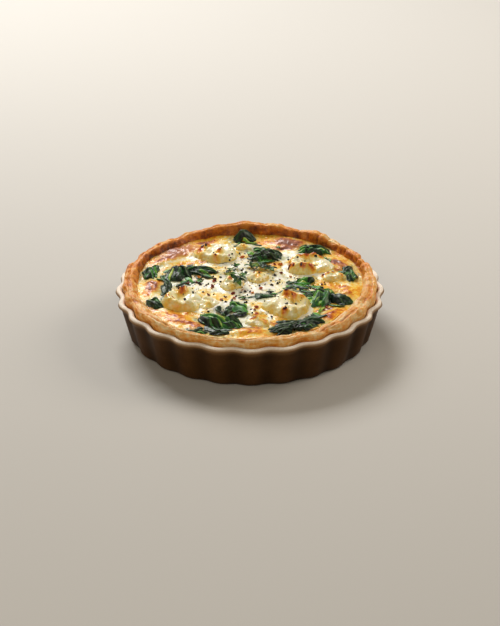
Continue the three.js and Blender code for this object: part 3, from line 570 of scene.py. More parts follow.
def line_away(x, y, line):
    """The distance of points from a line through several points."""
    nearest = np.inf
    for (ax, ay), (bx, by) in zip(line, line[1:]):
        length = (bx - ax) ** 2 + (by - ay) ** 2
        t = np.clip(((x - ax) * (bx - ax) + (y - ay) * (by - ay)) / length, 0, 1)
        nearest = np.minimum(nearest, np.hypot(x - ax - t * (bx - ax), y - ay - t * (by - ay)))
    return nearest


def cheese_outline(cheese, angle):
    """The radius of a cheese's uneven outline, at an angle in its own frame."""
    x, y, long, wide = cheese[:4]
    wobble = 1 + 0.08 * np.sin(3 * angle + x + y) + 0.05 * np.sin(5 * angle + 2 * (x + y))
    return wobble / np.hypot(np.cos(angle) / long, np.sin(angle) / wide)


def cheese_form(cheese, along, across, share):
    """A cheese's height at points in its frame, and how its forms fade out at its outline.

    The share goes from 0 at the cheese's middle to 1 at its outline.
    """
    x, y, _, _, height, _, peaks = cheese[:7]
    fade = 1 - share**4
    z = custard_top(x, y) + height * fade**CHEESE_ROUNDING
    for peak_along, peak_across, rise, spread in peaks:
        away = ((along - peak_along) / spread) ** 2 + ((across - peak_across) / spread) ** 2
        z = z + rise * fade * np.exp(-away)
    return z, fade


def cheese_top(cheese, px, py, margin=0.0):
    """The height of a cheese's top at plan points, or minus infinity outside its outline."""
    x, y, turn = cheese[0], cheese[1], cheese[5]
    along, across = into_frame(np.asarray(px, float), np.asarray(py, float), x, y, turn)
    outline = cheese_outline(cheese, np.arctan2(across, along)) + margin
    share = np.hypot(along, across) / outline
    z, fade = cheese_form(cheese, along, across, np.minimum(share, 1))
    z = z + margin + 0.25 * fade * unevenness(px, py, 6, x)
    return np.where(share <= 1 + 1e-9, z, -np.inf)


def topped_height(x, y):
    """The height of whatever a loose topping would lie on."""
    z = custard_top(x, y)
    for cheese in CHEESES.values():
        z = np.maximum(z, cheese_top(cheese, x, y, 0.25))
    return z


def near_cheese(x, y, margin):
    """Whether a point lies on a cheese or within a margin of one."""
    return any(np.isfinite(cheese_top(cheese, x, y, margin)) for cheese in CHEESES.values())


def clear_of_toppings(x, y):
    """Whether a crumb on the custard would lie clear of cheese, leaves and thyme."""
    if near_cheese(x, y, SPRINKLE_CLEARANCE):
        return False
    for at_x, at_y, long, wide, turn in (leaf[:5] for leaves in SPINACH.values() for leaf in leaves):
        along, across = into_frame(x, y, at_x, at_y, turn)
        reach_along, reach_across = long + SPRINKLE_CLEARANCE, 1.3 * wide + SPRINKLE_CLEARANCE
        if math.hypot(along / reach_along, across / reach_across) < 1:
            return False
    stems = (point for stem, _ in THYME.values() for point in stem)
    return all(math.hypot(x - sx, y - sy) >= SPRIG_CLEARANCE for sx, sy in stems)


def skip_shape(draw):
    """Passes over the four numbers that the part draws for a crumb's shape and turn."""
    for _ in range(4):
        draw()


def crumbs_on_custard(count, taken, draw):
    """Places [x, y] of crumbs spread evenly over the custard, as the part has them."""
    places, tries = [], 8
    while len(places) < count:
        best, best_distance = None, -1
        for _ in range(tries):
            r = SPRINKLED_RADIUS * math.sqrt(draw())
            angle = 2 * math.pi * draw()
            x, y = r * math.cos(angle), r * math.sin(angle)
            distance = min([99.0] + [math.hypot(x - tx, y - ty) for tx, ty in taken])
            if distance > best_distance and clear_of_toppings(x, y):
                best, best_distance = (x, y), distance
        if best is None:
            continue
        taken.append(best)
        skip_shape(draw)
        places.append(best)
    return places


def crumbs_on_cheese(cheese, count, draw):
    """Places [x, y] of crumbs on a large cheese, as the part has them."""
    places = []
    for i in range(count):
        angle = 2 * math.pi * (i + 0.6 * draw()) / count
        r = (0.25 + 0.35 * draw()) * cheese_outline(cheese, angle)
        along, across = r * math.cos(angle), r * math.sin(angle)
        places.append(out_of_frame(along, across, cheese[0], cheese[1], cheese[5]))
        skip_shape(draw)
    return places


def sprinkled_places():
    """The places of the chilli flakes and of the coarse pepper that the part has fused on."""
    draw, taken, large = seeded(4021), [], 10
    chilli = crumbs_on_custard(14, taken, draw)
    pepper = crumbs_on_custard(22, taken, draw)
    for cheese in CHEESES.values():
        if cheese[2] > large:
            pepper += crumbs_on_cheese(cheese, 3, draw)
    return chilli, pepper


# ---------------------------------------- meshes and materials


def linked(name, data):
    """A new object in the scene, with its mesh, light or camera."""
    piece = bpy.data.objects.new(name, data)
    bpy.context.scene.collection.objects.link(piece)
    return piece


def mesh_object(name, points, faces, edges=(), **values):
    """A mesh object from points in millimetres, with a number or a vector a point for each value."""
    mesh = bpy.data.meshes.new(name)
    mesh.from_pydata((np.asarray(points, float) * MM).tolist(), list(edges), faces)
    for key, value in values.items():
        kind, field = ("FLOAT_VECTOR", "vector") if np.ndim(value) == 2 else ("FLOAT", "value")
        attribute = mesh.attributes.new(key, kind, "POINT")
        attribute.data.foreach_set(field, np.asarray(value, np.float32).ravel())
    mesh.polygons.foreach_set("use_smooth", [True] * len(mesh.polygons))
    mesh.update()
    return linked(name, mesh)


def turned_faces(rows, segments):
    """Faces of rings of points closed on a pole at each end; the poles are the last two points."""
    i = np.arange(segments)
    after = (i + 1) % segments
    start = np.arange(rows - 1)[:, None] * segments
    corners = [start + i, start + after, start + segments + after, start + segments + i]
    last, poles = (rows - 1) * segments, rows * segments
    under = np.stack([np.full(segments, poles), after, i], axis=-1)
    over = np.stack([np.full(segments, poles + 1), last + i, last + after], axis=-1)
    return np.stack(corners, axis=-1).reshape(-1, 4).tolist() + under.tolist() + over.tolist()


def turned_object(name, rings, under=0, **values):
    """A closed piece from rings of points, bottom first, each value given ring by ring too.

    The values start after so many rings under them. Rings without a value take the nearest one.
    """
    rows, segments = rings.shape[:2]
    points = np.concatenate([rings.reshape(-1, 3), [rings[0].mean(axis=0), rings[-1].mean(axis=0)]])
    flat = {}
    for key, value in values.items():
        value = np.atleast_2d(np.clip(value, 0, 1))
        value = np.pad(value, ((under, rows - under - len(value)), (0, 0)), mode="edge")
        value = np.broadcast_to(value, (rows, segments))
        flat[key] = np.concatenate([value.ravel(), [value[0].mean(), value[-1].mean()]])
    return mesh_object(name, points, turned_faces(rows, segments), **flat)


def srgb(colour):
    """The three numbers, from 0 to 1, of an sRGB hex value."""
    return [int(colour[i : i + 2], 16) / 255 for i in (1, 3, 5)]


def linear(colour):
    """An sRGB hex value, or three sRGB numbers, as linear RGBA."""
    colour = srgb(colour) if isinstance(colour, str) else colour
    return (*[c / 12.92 if c <= 0.04045 else ((c + 0.055) / 1.055) ** 2.4 for c in colour], 1.0)


def add(tree, kind, inputs=(), stops=(), **settings):
    """Adds a node with its settings, its input values or links, and a colour ramp's stops."""
    node = tree.nodes.new(kind)
    for key, value in settings.items():
        setattr(node, key, value)
    for key, value in dict(inputs).items():
        if isinstance(value, bpy.types.NodeSocket):
            tree.links.new(value, node.inputs[key])
        else:
            node.inputs[key].default_value = value
    if stops:
        elements = node.color_ramp.elements
        while len(elements) < len(stops):
            elements.new(1.0)
        for element, (place, colour) in zip(elements, stops):
            element.position, element.color = place, linear(colour)
    return node


def new_material(name, *attributes, **sockets):
    """A material with a Principled shader whose plain values are set on its sockets.

    After its tree and shader come the place on the piece and the mesh's values of these names.
    """
    material = bpy.data.materials.new(name)
    material.use_nodes = True
    tree = material.node_tree
    shader = tree.nodes["Principled BSDF"]
    for key, value in sockets.items():
        key = key.replace("_", " ").title().replace("Ior", "IOR")
        shader.inputs[key].default_value = value
    place = add(tree, "ShaderNodeTexCoord").outputs["Object"]
    values = [add(tree, "ShaderNodeAttribute", attribute_name=key) for key in attributes]
    return material, tree, shader, place, *[value.outputs["Fac"] for value in values]


def roughened(tree, shader, place, size, detail, strength, depth):
    """Gives a material noise of a size as its fine relief, in millimetres, and hands the noise on."""
    inputs = {"Vector": place, "Scale": 1 / (size * MM), "Detail": detail}
    noise = add(tree, "ShaderNodeTexNoise", inputs).outputs[0]
    inputs = {"Height": noise, "Strength": strength, "Distance": depth * MM}
    bump = add(tree, "ShaderNodeBump", inputs)
    tree.links.new(bump.outputs[0], shader.inputs["Normal"])
    return noise


def speckled(tree, value, *specks):
    """A value with specks, each given as its noise and how far it moves the value from end to end."""
    for noise, spread in specks:
        inputs = {0: noise, 1: spread, 2: -spread / 2}
        shift = add(tree, "ShaderNodeMath", inputs, operation="MULTIPLY_ADD").outputs[0]
        value = add(tree, "ShaderNodeMath", {0: value, 1: shift}, operation="ADD").outputs[0]
    return value


def new_tree(name, inputs):
    """A Geometry Nodes tree with named inputs of given kinds, and the sockets of those inputs."""
    tree = bpy.data.node_groups.new(name, "GeometryNodeTree")
    for socket, kind in inputs.items():
        tree.interface.new_socket(socket, in_out="INPUT", socket_type=f"NodeSocket{kind}")
    tree.interface.new_socket("Geometry", in_out="OUTPUT", socket_type="NodeSocketGeometry")
    return tree, add(tree, "NodeGroupInput").outputs


def end_tree(tree, geometry, finish):
    """Ends a Geometry Nodes tree: its copies become real and take their material."""
    real = add(tree, "GeometryNodeRealizeInstances", {"Geometry": geometry}).outputs[0]
    finished = add(tree, "GeometryNodeSetMaterial", {"Geometry": real, "Material": finish})
    add(tree, "NodeGroupOutput", {"Geometry": finished.outputs[0]})


def place_copies(name, places, turns, sizes, piece, material, seed):
    """Copies of a small piece on given points, turned and sized one by one, as one mesh object."""
    inputs = {"Places": "Geometry", "Piece": "Object", "Seed": "Int", "Finish": "Material"}
    tree, given = new_tree(f"Copies of {piece.name}", inputs)
    info = add(tree, "GeometryNodeObjectInfo", {"Object": given["Piece"]})
    turn, size = [
        add(tree, "GeometryNodeInputNamedAttribute", {"Name": key}, data_type="FLOAT_VECTOR")
        for key in ("turn", "size")
    ]
    rotation = add(tree, "FunctionNodeEulerToRotation", {"Euler": turn.outputs["Attribute"]})
    points = add(tree, "GeometryNodeMeshToPoints", {"Mesh": given["Places"]})
    copies = add(
        tree,
        "GeometryNodeInstanceOnPoints",
        {
            "Points": points.outputs["Points"],
            "Instance": info.outputs["Geometry"],
            "Rotation": rotation.outputs["Rotation"],
            "Scale": size.outputs["Attribute"],
        },
    )
    tone = add(tree, "FunctionNodeRandomValue", {"Seed": given["Seed"]}, data_type="FLOAT")
    toned = add(
        tree,
        "GeometryNodeStoreNamedAttribute",
        {"Geometry": copies.outputs["Instances"], "Name": "tone", "Value": tone.outputs["Value"]},
        data_type="FLOAT",
        domain="INSTANCE",
    )
    end_tree(tree, toned.outputs["Geometry"], given["Finish"])
    holder = mesh_object(f"{name}_places", places, [], turn=turns, size=sizes)
    return grown(name, holder, tree, {"Piece": piece, "Seed": seed, "Finish": material})


def grown(name, holder, tree, values):
    """Runs a Geometry Nodes tree on an object and keeps the result as a plain mesh object."""
    modifier = holder.modifiers.new("Growth", "NODES")
    modifier.node_group = tree
    for socket in tree.interface.items_tree:
        if socket.item_type == "SOCKET" and socket.in_out == "INPUT" and socket.name in values:
            modifier[socket.identifier] = values[socket.name]
    holder.update_tag()
    bpy.context.view_layer.update()
    evaluated = holder.evaluated_get(bpy.context.evaluated_depsgraph_get())
    mesh = bpy.data.meshes.new_from_object(evaluated)
    mesh.name = name
    holder.modifiers.clear()
    bpy.data.objects.remove(holder)
    return linked(name, mesh)


def finish_piece(piece, material=None, nodes=()):
    """Gives a piece its material, its body, its record slot and the CAD nodes that it stands for."""
    if material is not None:
        piece.data.materials.clear()
        piece.data.materials.append(material)
    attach(piece, BODY)
    if nodes:
        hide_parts(*nodes)


# ---------------------------------------- the dish


def dish_profile():
    """The dish's section as [radius, height] points: underside, wall, rounded lip, inside, floor."""
    points = [(0, 0.35), (30, 0.35), (57.5, 0.3), (59, 0.05), (61.2, 0.0), (62.1, 0.3), (62.9, 0.9)]
    wall_foot, wall_run, wall_rise = (63.5, 1.9), 4.95, 18.9
    lip_middle, lip_width, lip_height = (68.15, 22.35), 1.8, 1.65
    for share in [0, *np.linspace(0.1, 1, 12)]:
        points.append((wall_foot[0] + wall_run * share, wall_foot[1] + wall_rise * share))
    for angle in np.radians(np.linspace(-28, 180, 22)):
        across, up = lip_width * math.cos(angle), lip_height * math.sin(angle)
        points.append((lip_middle[0] + across, lip_middle[1] + up))
    points += [(66.0, 20.5), (64.2, 15), (62.4, 9.5), (61.5, 7.0), (60.6, 5.2), (58.7, 4.3)]
    return np.array(points + [(40, FLOOR_HEIGHT), (0, FLOOR_HEIGHT)])


def fluted_tree(segments, rows):
    """A profile carried round the Z axis, with flutes in the wall that fade out towards the foot."""
    numbers = ["Flute depth", "Foot flute depth", "Groove sharpness", "Crown angle"]
    numbers += ["Height", "Unevenness"]
    inputs = {"Profile": "Geometry", "Flutes": "Int", **dict.fromkeys(numbers, "Float")}
    tree, given = new_tree("Fluted dish", {**inputs, "Finish": "Material"})

    # a flat grid is rolled up: its X goes once round the axis, and its Y runs along the profile
    size = {"Size X": 1.0, "Size Y": 1.0, "Vertices X": segments + 1, "Vertices Y": rows}
    grid = add(tree, "GeometryNodeMeshGrid", size)
    spot = add(tree, "GeometryNodeInputPosition").outputs[0]
    spot = add(tree, "ShaderNodeSeparateXYZ", {"Vector": spot}).outputs
    share = add(tree, "ShaderNodeMath", {0: spot["X"], 1: 0.5}, operation="ADD").outputs[0]
    angle = add(tree, "ShaderNodeMath", {0: share, 1: 2 * math.pi}, operation="MULTIPLY").outputs[0]
    along = add(tree, "ShaderNodeMath", {0: spot["Y"], 1: 0.5}, operation="ADD").outputs[0]
    curve = add(tree, "GeometryNodeMeshToCurve", {"Mesh": given["Profile"]}).outputs["Curve"]
    inputs = {"Curves": curve, "Factor": along}
    sample = add(tree, "GeometryNodeSampleCurve", inputs, mode="FACTOR", use_all_curves=True)
    section = add(tree, "ShaderNodeSeparateXYZ", {"Vector": sample.outputs["Position"]}).outputs

    # the wave of the flutes: the sine of the angle from a crown, half a turn for each flute
    inputs = {0: angle, 1: given["Crown angle"]}
    away = add(tree, "ShaderNodeMath", inputs, operation="SUBTRACT").outputs[0]
    waves = add(tree, "ShaderNodeMath", {0: given["Flutes"], 1: 0.5}, operation="MULTIPLY").outputs[0]
    phase = add(tree, "ShaderNodeMath", {0: away, 1: waves}, operation="MULTIPLY").outputs[0]
    sine = add(tree, "ShaderNodeMath", {0: phase}, operation="SINE").outputs[0]
    upright = add(tree, "ShaderNodeMath", {0: sine}, operation="ABSOLUTE").outputs[0]
    inputs = {0: upright, 1: given["Groove sharpness"]}
    wave = add(tree, "ShaderNodeMath", inputs, operation="POWER").outputs[0]
    inputs = {"Value": section["X"], "From Min": 0.045, "From Max": 0.058}
    near_wall = add(tree, "ShaderNodeMapRange", inputs).outputs["Result"]
    cut = add(tree, "ShaderNodeMath", {0: wave, 1: near_wall}, operation="MULTIPLY").outputs[0]
    grooved = add(
        tree,
        "GeometryNodeStoreNamedAttribute",
        {"Geometry": grid.outputs["Mesh"], "Name": "groove", "Value": cut},
        data_type="FLOAT",
        domain="POINT",
    )

    # its depth grows from the foot to the lip
    inputs = {0: section["Z"], 1: given["Height"]}
    raised = add(tree, "ShaderNodeMath", inputs, operation="DIVIDE").outputs[0]
    inputs = {0: given["Flute depth"], 1: given["Foot flute depth"]}
    growth = add(tree, "ShaderNodeMath", inputs, operation="SUBTRACT").outputs[0]
    inputs = {0: raised, 1: growth, 2: given["Foot flute depth"]}
    depth = add(tree, "ShaderNodeMath", inputs, operation="MULTIPLY_ADD").outputs[0]
    depth = add(tree, "ShaderNodeMath", {0: cut, 1: depth}, operation="MULTIPLY").outputs[0]

    def carried_round(radius):
        """A radius, at the section's height, as a place round the axis."""
        place = {"Z": section["Z"]}
        for axis, operation in (("X", "COSINE"), ("Y", "SINE")):
            way = add(tree, "ShaderNodeMath", {0: angle}, operation=operation).outputs[0]
            inputs = {0: radius, 1: way}
            place[axis] = add(tree, "ShaderNodeMath", inputs, operation="MULTIPLY").outputs[0]
        return add(tree, "ShaderNodeCombineXYZ", place).outputs[0]

    # a hand-made wall strays a little from its true form, over some 11 mm
    inputs = {"Vector": carried_round(section["X"]), "Scale": 1 / (11 * MM), "Detail": 1.0}
    hand = add(tree, "ShaderNodeTexNoise", inputs).outputs[0]
    centred = add(tree, "ShaderNodeMath", {0: hand, 1: 0.5}, operation="SUBTRACT").outputs[0]
    inputs = {0: centred, 1: given["Unevenness"], 2: section["X"]}
    strayed = add(tree, "ShaderNodeMath", inputs, operation="MULTIPLY_ADD").outputs[0]
    inner = add(tree, "ShaderNodeMath", {0: strayed, 1: depth}, operation="SUBTRACT").outputs[0]
    radius = add(tree, "ShaderNodeMath", {0: inner, 1: 0.0}, operation="MAXIMUM").outputs[0]

    inputs = {"Geometry": grooved.outputs["Geometry"], "Position": carried_round(radius)}
    turned = add(tree, "GeometryNodeSetPosition", inputs).outputs[0]
    inputs = {"Geometry": turned, "Distance": 0.02 * MM}
    closed = add(tree, "GeometryNodeMergeByDistance", inputs).outputs[0]
    smooth = add(tree, "GeometryNodeSetShadeSmooth", {"Geometry": closed}).outputs[0]
    end_tree(tree, smooth, given["Finish"])
    return tree


def stoneware_glaze(look):
    """Glazed stoneware, dipped and fired: a satin brown coat that breaks pale on the lip."""
    material, tree, shader, place, groove_share = new_material(
        "glazed_stoneware",
        "groove",
        roughness=0.5,
        ior=1.5,
        specular_ior_level=0.08,
        coat_weight=0.02,
        coat_roughness=0.12,
    )
    height = add(tree, "ShaderNodeSeparateXYZ", {"Vector": place}).outputs["Z"]
    # glaze pools unevenly over some 9 mm, and the clay shows through in spots of about 1 mm
    inputs = {"Vector": place, "Scale": 1 / (9 * MM), "Detail": 3.0}
    pools = add(tree, "ShaderNodeTexNoise", inputs).outputs[0]
    inputs = {"Vector": place, "Scale": 1 / (1.1 * MM), "Detail": 2.0}
    spots = add(tree, "ShaderNodeTexNoise", inputs).outputs[0]
    # the edge of the pale lip band, partly painted highlight, wanders by 0.9 mm
    level = speckled(tree, height, (pools, 0.9 * MM))
    inputs = {"Value": level, "From Min": 0.0, "From Max": DISH_HEIGHT * MM}
    share = add(tree, "ShaderNodeMapRange", inputs).outputs["Result"]
    # painted shade and light: the wall darker towards its foot and the top of the lip paler than the
    # glaze itself
    coat = add(
        tree,
        "ShaderNodeValToRGB",
        {"Fac": share},
        stops=[
            (0.0, "#46301a"),
            (0.10, look.shaded_wall_colour),
            (0.80, look.shaded_wall_colour),
            (0.925, "#7a5836"),
            (0.96, "#b8997a"),
            (0.98, look.lit_lip_colour),
            (1.0, "#fbf2e4"),
        ],
    )
    inputs = {"Value": pools, "From Min": 0.3, "From Max": 0.75, "To Min": 1.1, "To Max": 0.8}
    mottle = add(tree, "ShaderNodeMapRange", inputs).outputs[0]
    inputs = {"Value": spots, "From Min": 0.35, "From Max": 0.7, "To Min": 1.04, "To Max": 0.92}
    fine = add(tree, "ShaderNodeMapRange", inputs).outputs[0]
    both = add(tree, "ShaderNodeMath", {0: mottle, 1: fine}, operation="MULTIPLY").outputs[0]
    # the grooves below the lip are darker and the crowns a little lighter: painted shade and light,
    # with a little glaze that pools in the grooves
    lip_edge = {"From Min": 20.5 * MM, "From Max": 22.6 * MM, "To Min": 1.0, "To Max": 0.0}
    below_lip = add(tree, "ShaderNodeMapRange", {"Value": height, **lip_edge}).outputs[0]
    inputs = {0: groove_share, 1: below_lip}
    groove_below_lip = add(tree, "ShaderNodeMath", inputs, operation="MULTIPLY").outputs[0]
    inputs = {"Value": groove_below_lip, "To Min": 1.12, "To Max": 0.62}
    groove_shade = add(tree, "ShaderNodeMapRange", inputs).outputs[0]
    shade = add(tree, "ShaderNodeMath", {0: both, 1: groove_shade}, operation="MULTIPLY").outputs[0]
    inputs = {0: coat.outputs[0], "Scale": shade}
    colour = add(tree, "ShaderNodeVectorMath", inputs, operation="SCALE").outputs[0]
    tree.links.new(colour, shader.inputs["Base Color"])
    roughened(tree, shader, place, size=2.2, detail=2.0, strength=0.12, depth=0.4)
    return material


def build_dish(look):
    """The fluted dish, from its profile."""
    profile = dish_profile()
    edges = [(i, i + 1) for i in range(len(profile) - 1)]
    points = points_at(profile[:, 0], 0, profile[:, 1])
    holder = mesh_object("dish_profile", points, [], edges)
    values = {
        "Flutes": look.flutes,
        "Flute depth": look.flute_depth,
        "Foot flute depth": look.foot_flute_depth,
        "Groove sharpness": GROOVE_SHARPNESS,
        "Crown angle": CROWN_ANGLE,
        "Height": DISH_HEIGHT * MM,
        "Unevenness": look.unevenness,
        "Finish": stoneware_glaze(look),
    }
    tree = fluted_tree(segments=FLUTES * 24, rows=110)
    finish_piece(grown("stoneware_dish", holder, tree, values), nodes=["dish"])


# ---------------------------------------- the pastry case


def crust_rings(segments=1120, steps=9):
    """Rings of the pastry rim from inside the lip up the outside, over the crest and down inside.

    A smooth curve runs through the points of its section, with so many steps from one to the next.
    """
    angle = np.arange(segments) * 2 * math.pi / segments
    g, inner, crest = groove(angle), crust_inner(angle), crest_height(angle)
    outer = LIP_RADIUS - 0.2 - 0.9 * g
    level = CUSTARD_LEVEL + BACK_RISE * np.maximum(0, np.sin(angle)) ** 2

    def over(share, drop):
        """A point on the way across the rim, so much lower than its crest."""
        lean = 0.35 * pastry_wander(angle, 7 + share)
        return outer + (inner + 0.4 - outer) * share + lean * (1 - share), crest - drop

    section = [
        (LIP_RADIUS - 1.1 - 2.0 * g, 20.6),
        (LIP_RADIUS - 0.45 - 1.9 * g, 22.4),
        (LIP_RADIUS - 0.1 - 1.6 * g, 24.4),
        over(0, 1.5),
        over(0.16, 0.2),
        over(0.4, 0.35),
        over(0.62, 0.15),
        over(0.85, 1.3),
        (inner, level - 0.3),
        (inner - 0.3, level - 2.2),
    ]
    controls = np.array([[np.broadcast_to(v, angle.shape) for v in point] for point in section])
    spans = len(section) - 3
    rows, shares = [], []
    for span in range(spans):
        p0, p1, p2, p3 = controls[span : span + 4]
        for t in (step / steps for step in range(steps)):
            first = (p2 - p0) * t
            second = (2 * p0 - 5 * p1 + 4 * p2 - p3) * t**2
            third = (3 * p1 - p0 - 3 * p2 + p3) * t**3
            rows.append(0.5 * (2 * p1 + first + second + third))
            shares.append(span + t)
    rows.append(controls[-2])
    shares.append(float(spans))
    return angle, np.array(rows), np.array(shares) / spans


def build_crust(look):
    """The pastry case: folded strands, ruffles, flakes and its bake."""
    angle, rows, share = crust_rings()
    r, z = rows[:, 0], rows[:, 1]
    s = share[:, None]
    x, y = r * np.cos(angle), r * np.sin(angle)
    middle = RIM_RADIUS * np.cos(angle), RIM_RADIUS * np.sin(angle)
    back = ramped(-0.15, 0.55, np.sin(angle))
    front = 1 - back

    # ruffles: rounded lobes some 6 mm apart where the pastry was pinched, with narrow creases
    phase = LOBES / 2 * angle + 2.4 * lumps(*middle, 0, 17, 41, 2)
    ruffle = np.abs(np.sin(phase)) ** 0.8
    pinched = 0.10 + bumps_round(PINCHED_SPOTS, angle)
    pinched = pinched * (0.8 + 0.5 * lumps(*middle, 4, 9, 46))
    ruffled = ramped(0.25, 0.5, s) * (1 - ramped(0.9, 1.0, s)) * pinched

    # the fold between the two strands runs round the top, and a weaker one inside it
    folded = (0.85 - 0.75 * back) * (0.75 + 0.35 * lumps(x[0], y[0], 0, 15, 44))
    folded = folded * (0.15 + bumps_round(FOLDED_SPOTS, angle))
    fold_at = 0.52 + 0.05 * lumps(*middle, 0, 17, 43)
    fold = np.exp(-(((s - fold_at) / 0.035) ** 2)) * folded
    second_at = 0.70 + 0.05 * lumps(*middle, 0, 12, 45)
    second = np.exp(-(((s - second_at) / 0.03) ** 2)) * 0.3 * bumps_round(SECOND_FOLD_SPOTS, angle)

    # lumps, flaky layers and wrinkles that run along the rim, and crumbs
    broad = lumps(x, y, z, 7, 51, 2)
    knobs = lumps(x, y, z, 3.6, 59)
    flaky = 1 - np.abs(lumps(x / 6, y / 6, 9 * s, 1.0, 53, 2))
    wrinkle = 1 - np.abs(lumps(x / 3.2, y / 3.2, 5.5 * s, 1.0, 57, 2))
    grain = lumps(x, y, z, 1.1, 55, 2)
    rim = ramped(0.12, 0.3, s) * (1 - ramped(0.93, 1.0, s))
    layers = (0.16 + 0.16 * front) * (flaky - 0.7) + 0.22 * front * (wrinkle - 0.7)
    relief = rim * (0.78 * broad + 0.30 * knobs + layers + 0.09 * grain)
    relief = relief + look.ruffle_depth / MM * ruffled * (ruffle - 0.75)
    relief = relief - look.fold_depth / MM * (fold + 0.5 * second)

    # the relief stands out at right angles to the section
    along = np.gradient(rows, axis=0)
    length = np.hypot(along[:, 0], along[:, 1]) + 1e-9
    r, z = r + relief * along[:, 1] / length, z - relief * along[:, 0] / length

    # how dark it is baked, with painted light and shade: darker inside at the back, which faces away
    # from the light, and on thin edges and in the creases; lighter on the outer face, the top and the
    # inside at the front
    outside, inside = 1 - ramped(0.18, 0.42, s), ramped(0.62, 0.95, s)
    baked_and_lit = 0.33 - 0.04 * outside * front + inside * (0.44 * back - 0.12 * front)
    # lumps darker; knobs lighter as painted highlight
    baked_and_lit = baked_and_lit + 0.17 * broad - 0.10 * knobs + 0.08 * grain
    # flake and wrinkle crests lighter and the hollows between them darker: painted highlight and shade,
    # partly baked colour
    baked_and_lit = baked_and_lit - (0.12 + 0.22 * front) * (flaky - 0.7) * rim
    baked_and_lit = baked_and_lit - 0.22 * front * (wrinkle - 0.75) * rim
    # creases between the lobes darker as painted shade; the top and inside at the front lighter as
    # painted light
    baked_and_lit = baked_and_lit + 0.22 * (1 - ruffle) ** 2 * ruffled + 0.03 * back - 0.10 * (1 - outside) * front
    baked_and_lit = baked_and_lit + bumps_round(BAKED_SPOTS, angle)

    low = [(57.4, 4.55), (61.0, 6.8)]
    low = [round_axis(radius - 0.7 * groove(angle), angle, height) for radius, height in low]
    foot = round_axis(54.5, angle, 7.95)
    rings = np.concatenate([low, round_axis(r, angle, z), [foot]])
    values = {"baked_and_lit": baked_and_lit, "fold_shade": fold + 0.7 * second}
    piece = turned_object("baked_crust", rings, under=len(low), **values)
    finish_piece(piece, shortcrust(look), ["crust"])


def shortcrust(look):
    """Baked shortcrust pastry, rolled and pinched by hand: matt, flaky, darker where it is thin."""
    material, tree, shader, place, baked_and_lit, fold_shade = new_material(
        "baked_shortcrust",
        "baked_and_lit",
        "fold_shade",
        roughness=0.44,
        ior=1.45,
        specular_ior_level=0.42,
        subsurface_weight=0.12,
        subsurface_scale=0.0012,
    )
    # butter and flour leave mottling of about 2.5 mm and specks of 0.5 mm
    inputs = {"Vector": place, "Scale": 1 / (2.5 * MM), "Detail": 4.0}
    mottle = add(tree, "ShaderNodeTexNoise", inputs).outputs[0]
    inputs = {"Vector": place, "Scale": 1 / (0.5 * MM), "Detail": 2.0}
    specks = add(tree, "ShaderNodeTexNoise", inputs).outputs[0]
    tones = add(
        tree,
        "ShaderNodeValToRGB",
        {"Fac": speckled(tree, baked_and_lit, (mottle, 0.54), (specks, 0.22))},
        stops=[
            (0.0, "#f8dca6"),
            (0.25, look.pale_colour),
            (0.46, look.golden_colour),
            (0.66, "#c56f17"),
            (0.84, "#93480b"),
            (1.0, "#572706"),
        ],
    )
    # the fold along the top is darkened as painted shade
    inputs = {0: fold_shade, 6: tones.outputs[0], 7: linear("#9c5a34")}
    folds = add(tree, "ShaderNodeMix", inputs, data_type="RGBA")
    tree.links.new(folds.outputs[2], shader.inputs["Base Color"])
    roughened(tree, shader, place, size=0.9, detail=4.0, strength=0.75, depth=0.5)
    return material


# ---------------------------------------- the custard


def build_custard(look):
    """The set custard up to the level shown, with its browned patches and green juice."""
    rows, segments = 164, 580
    angle = np.arange(segments) * 2 * math.pi / segments
    share = np.linspace(1, 0.004, rows)[:, None]
    r = share * (crust_inner(angle) + 0.35)
    x, y = r * np.cos(angle), r * np.sin(angle)
    browned, skin = custard_colour(x, y)

    # green juice round the leaves, and a thin veil of it over the wet middle
    juice = 0.0
    for at_x, at_y, long, wide, turn in (leaf[:5] for leaves in SPINACH.values() for leaf in leaves):
        along, across = into_frame(x, y, at_x, at_y, turn)
        away = np.hypot(along / (long + 3), across / (wide + 3))
        juice = np.maximum(juice, 1 - ramped(0.75, 1.25, away))
    juice = juice * (0.7 + 0.8 * lumps(x, y, 3, 4, 61, 2))
    middle = 1 - ramped(38, 52, np.hypot(x, y))
    veil = 0.6 * ramped(0.05, 0.6, lumps(x, y, 7, 7, 63, 3)) * middle
    juice = np.clip(np.maximum(juice, veil), 0, 1) * (1 - browned)

    # bits of leaf under the surface, and flecks of it in the juice
    sunken = 0.8 * ramped(0.34, 0.46, lumps(x, y, 13, 1.9, 64, 2)) * ramped(0.1, 0.5, juice)
    for at_x, at_y, long, wide, turn in SUNKEN_LEAVES:
        along, across = into_frame(x, y, at_x, at_y, turn)
        torn = 0.45 * lumps(along / 1.8, across, at_x, 1.4, 62, 2)
        away = np.hypot(along / long, across / wide) + torn
        sunken = np.maximum(sunken, 1 - ramped(0.75, 0.95, away))

    top = points_at(x, y, custard_relief(x, y))
    side = top[0] * [0.97, 0.97, 1] - [0, 0, 3]
    foot = top[0] * [0.87, 0.87, 0] + [0, 0, 8.3]
    values = {"browned": browned, "skin": skin, "juice": juice, "sunken": sunken}
    piece = turned_object("set_custard", np.concatenate([[foot, side], top]), under=2, **values)
    finish_piece(piece, egg_custard(look), ["custard"])


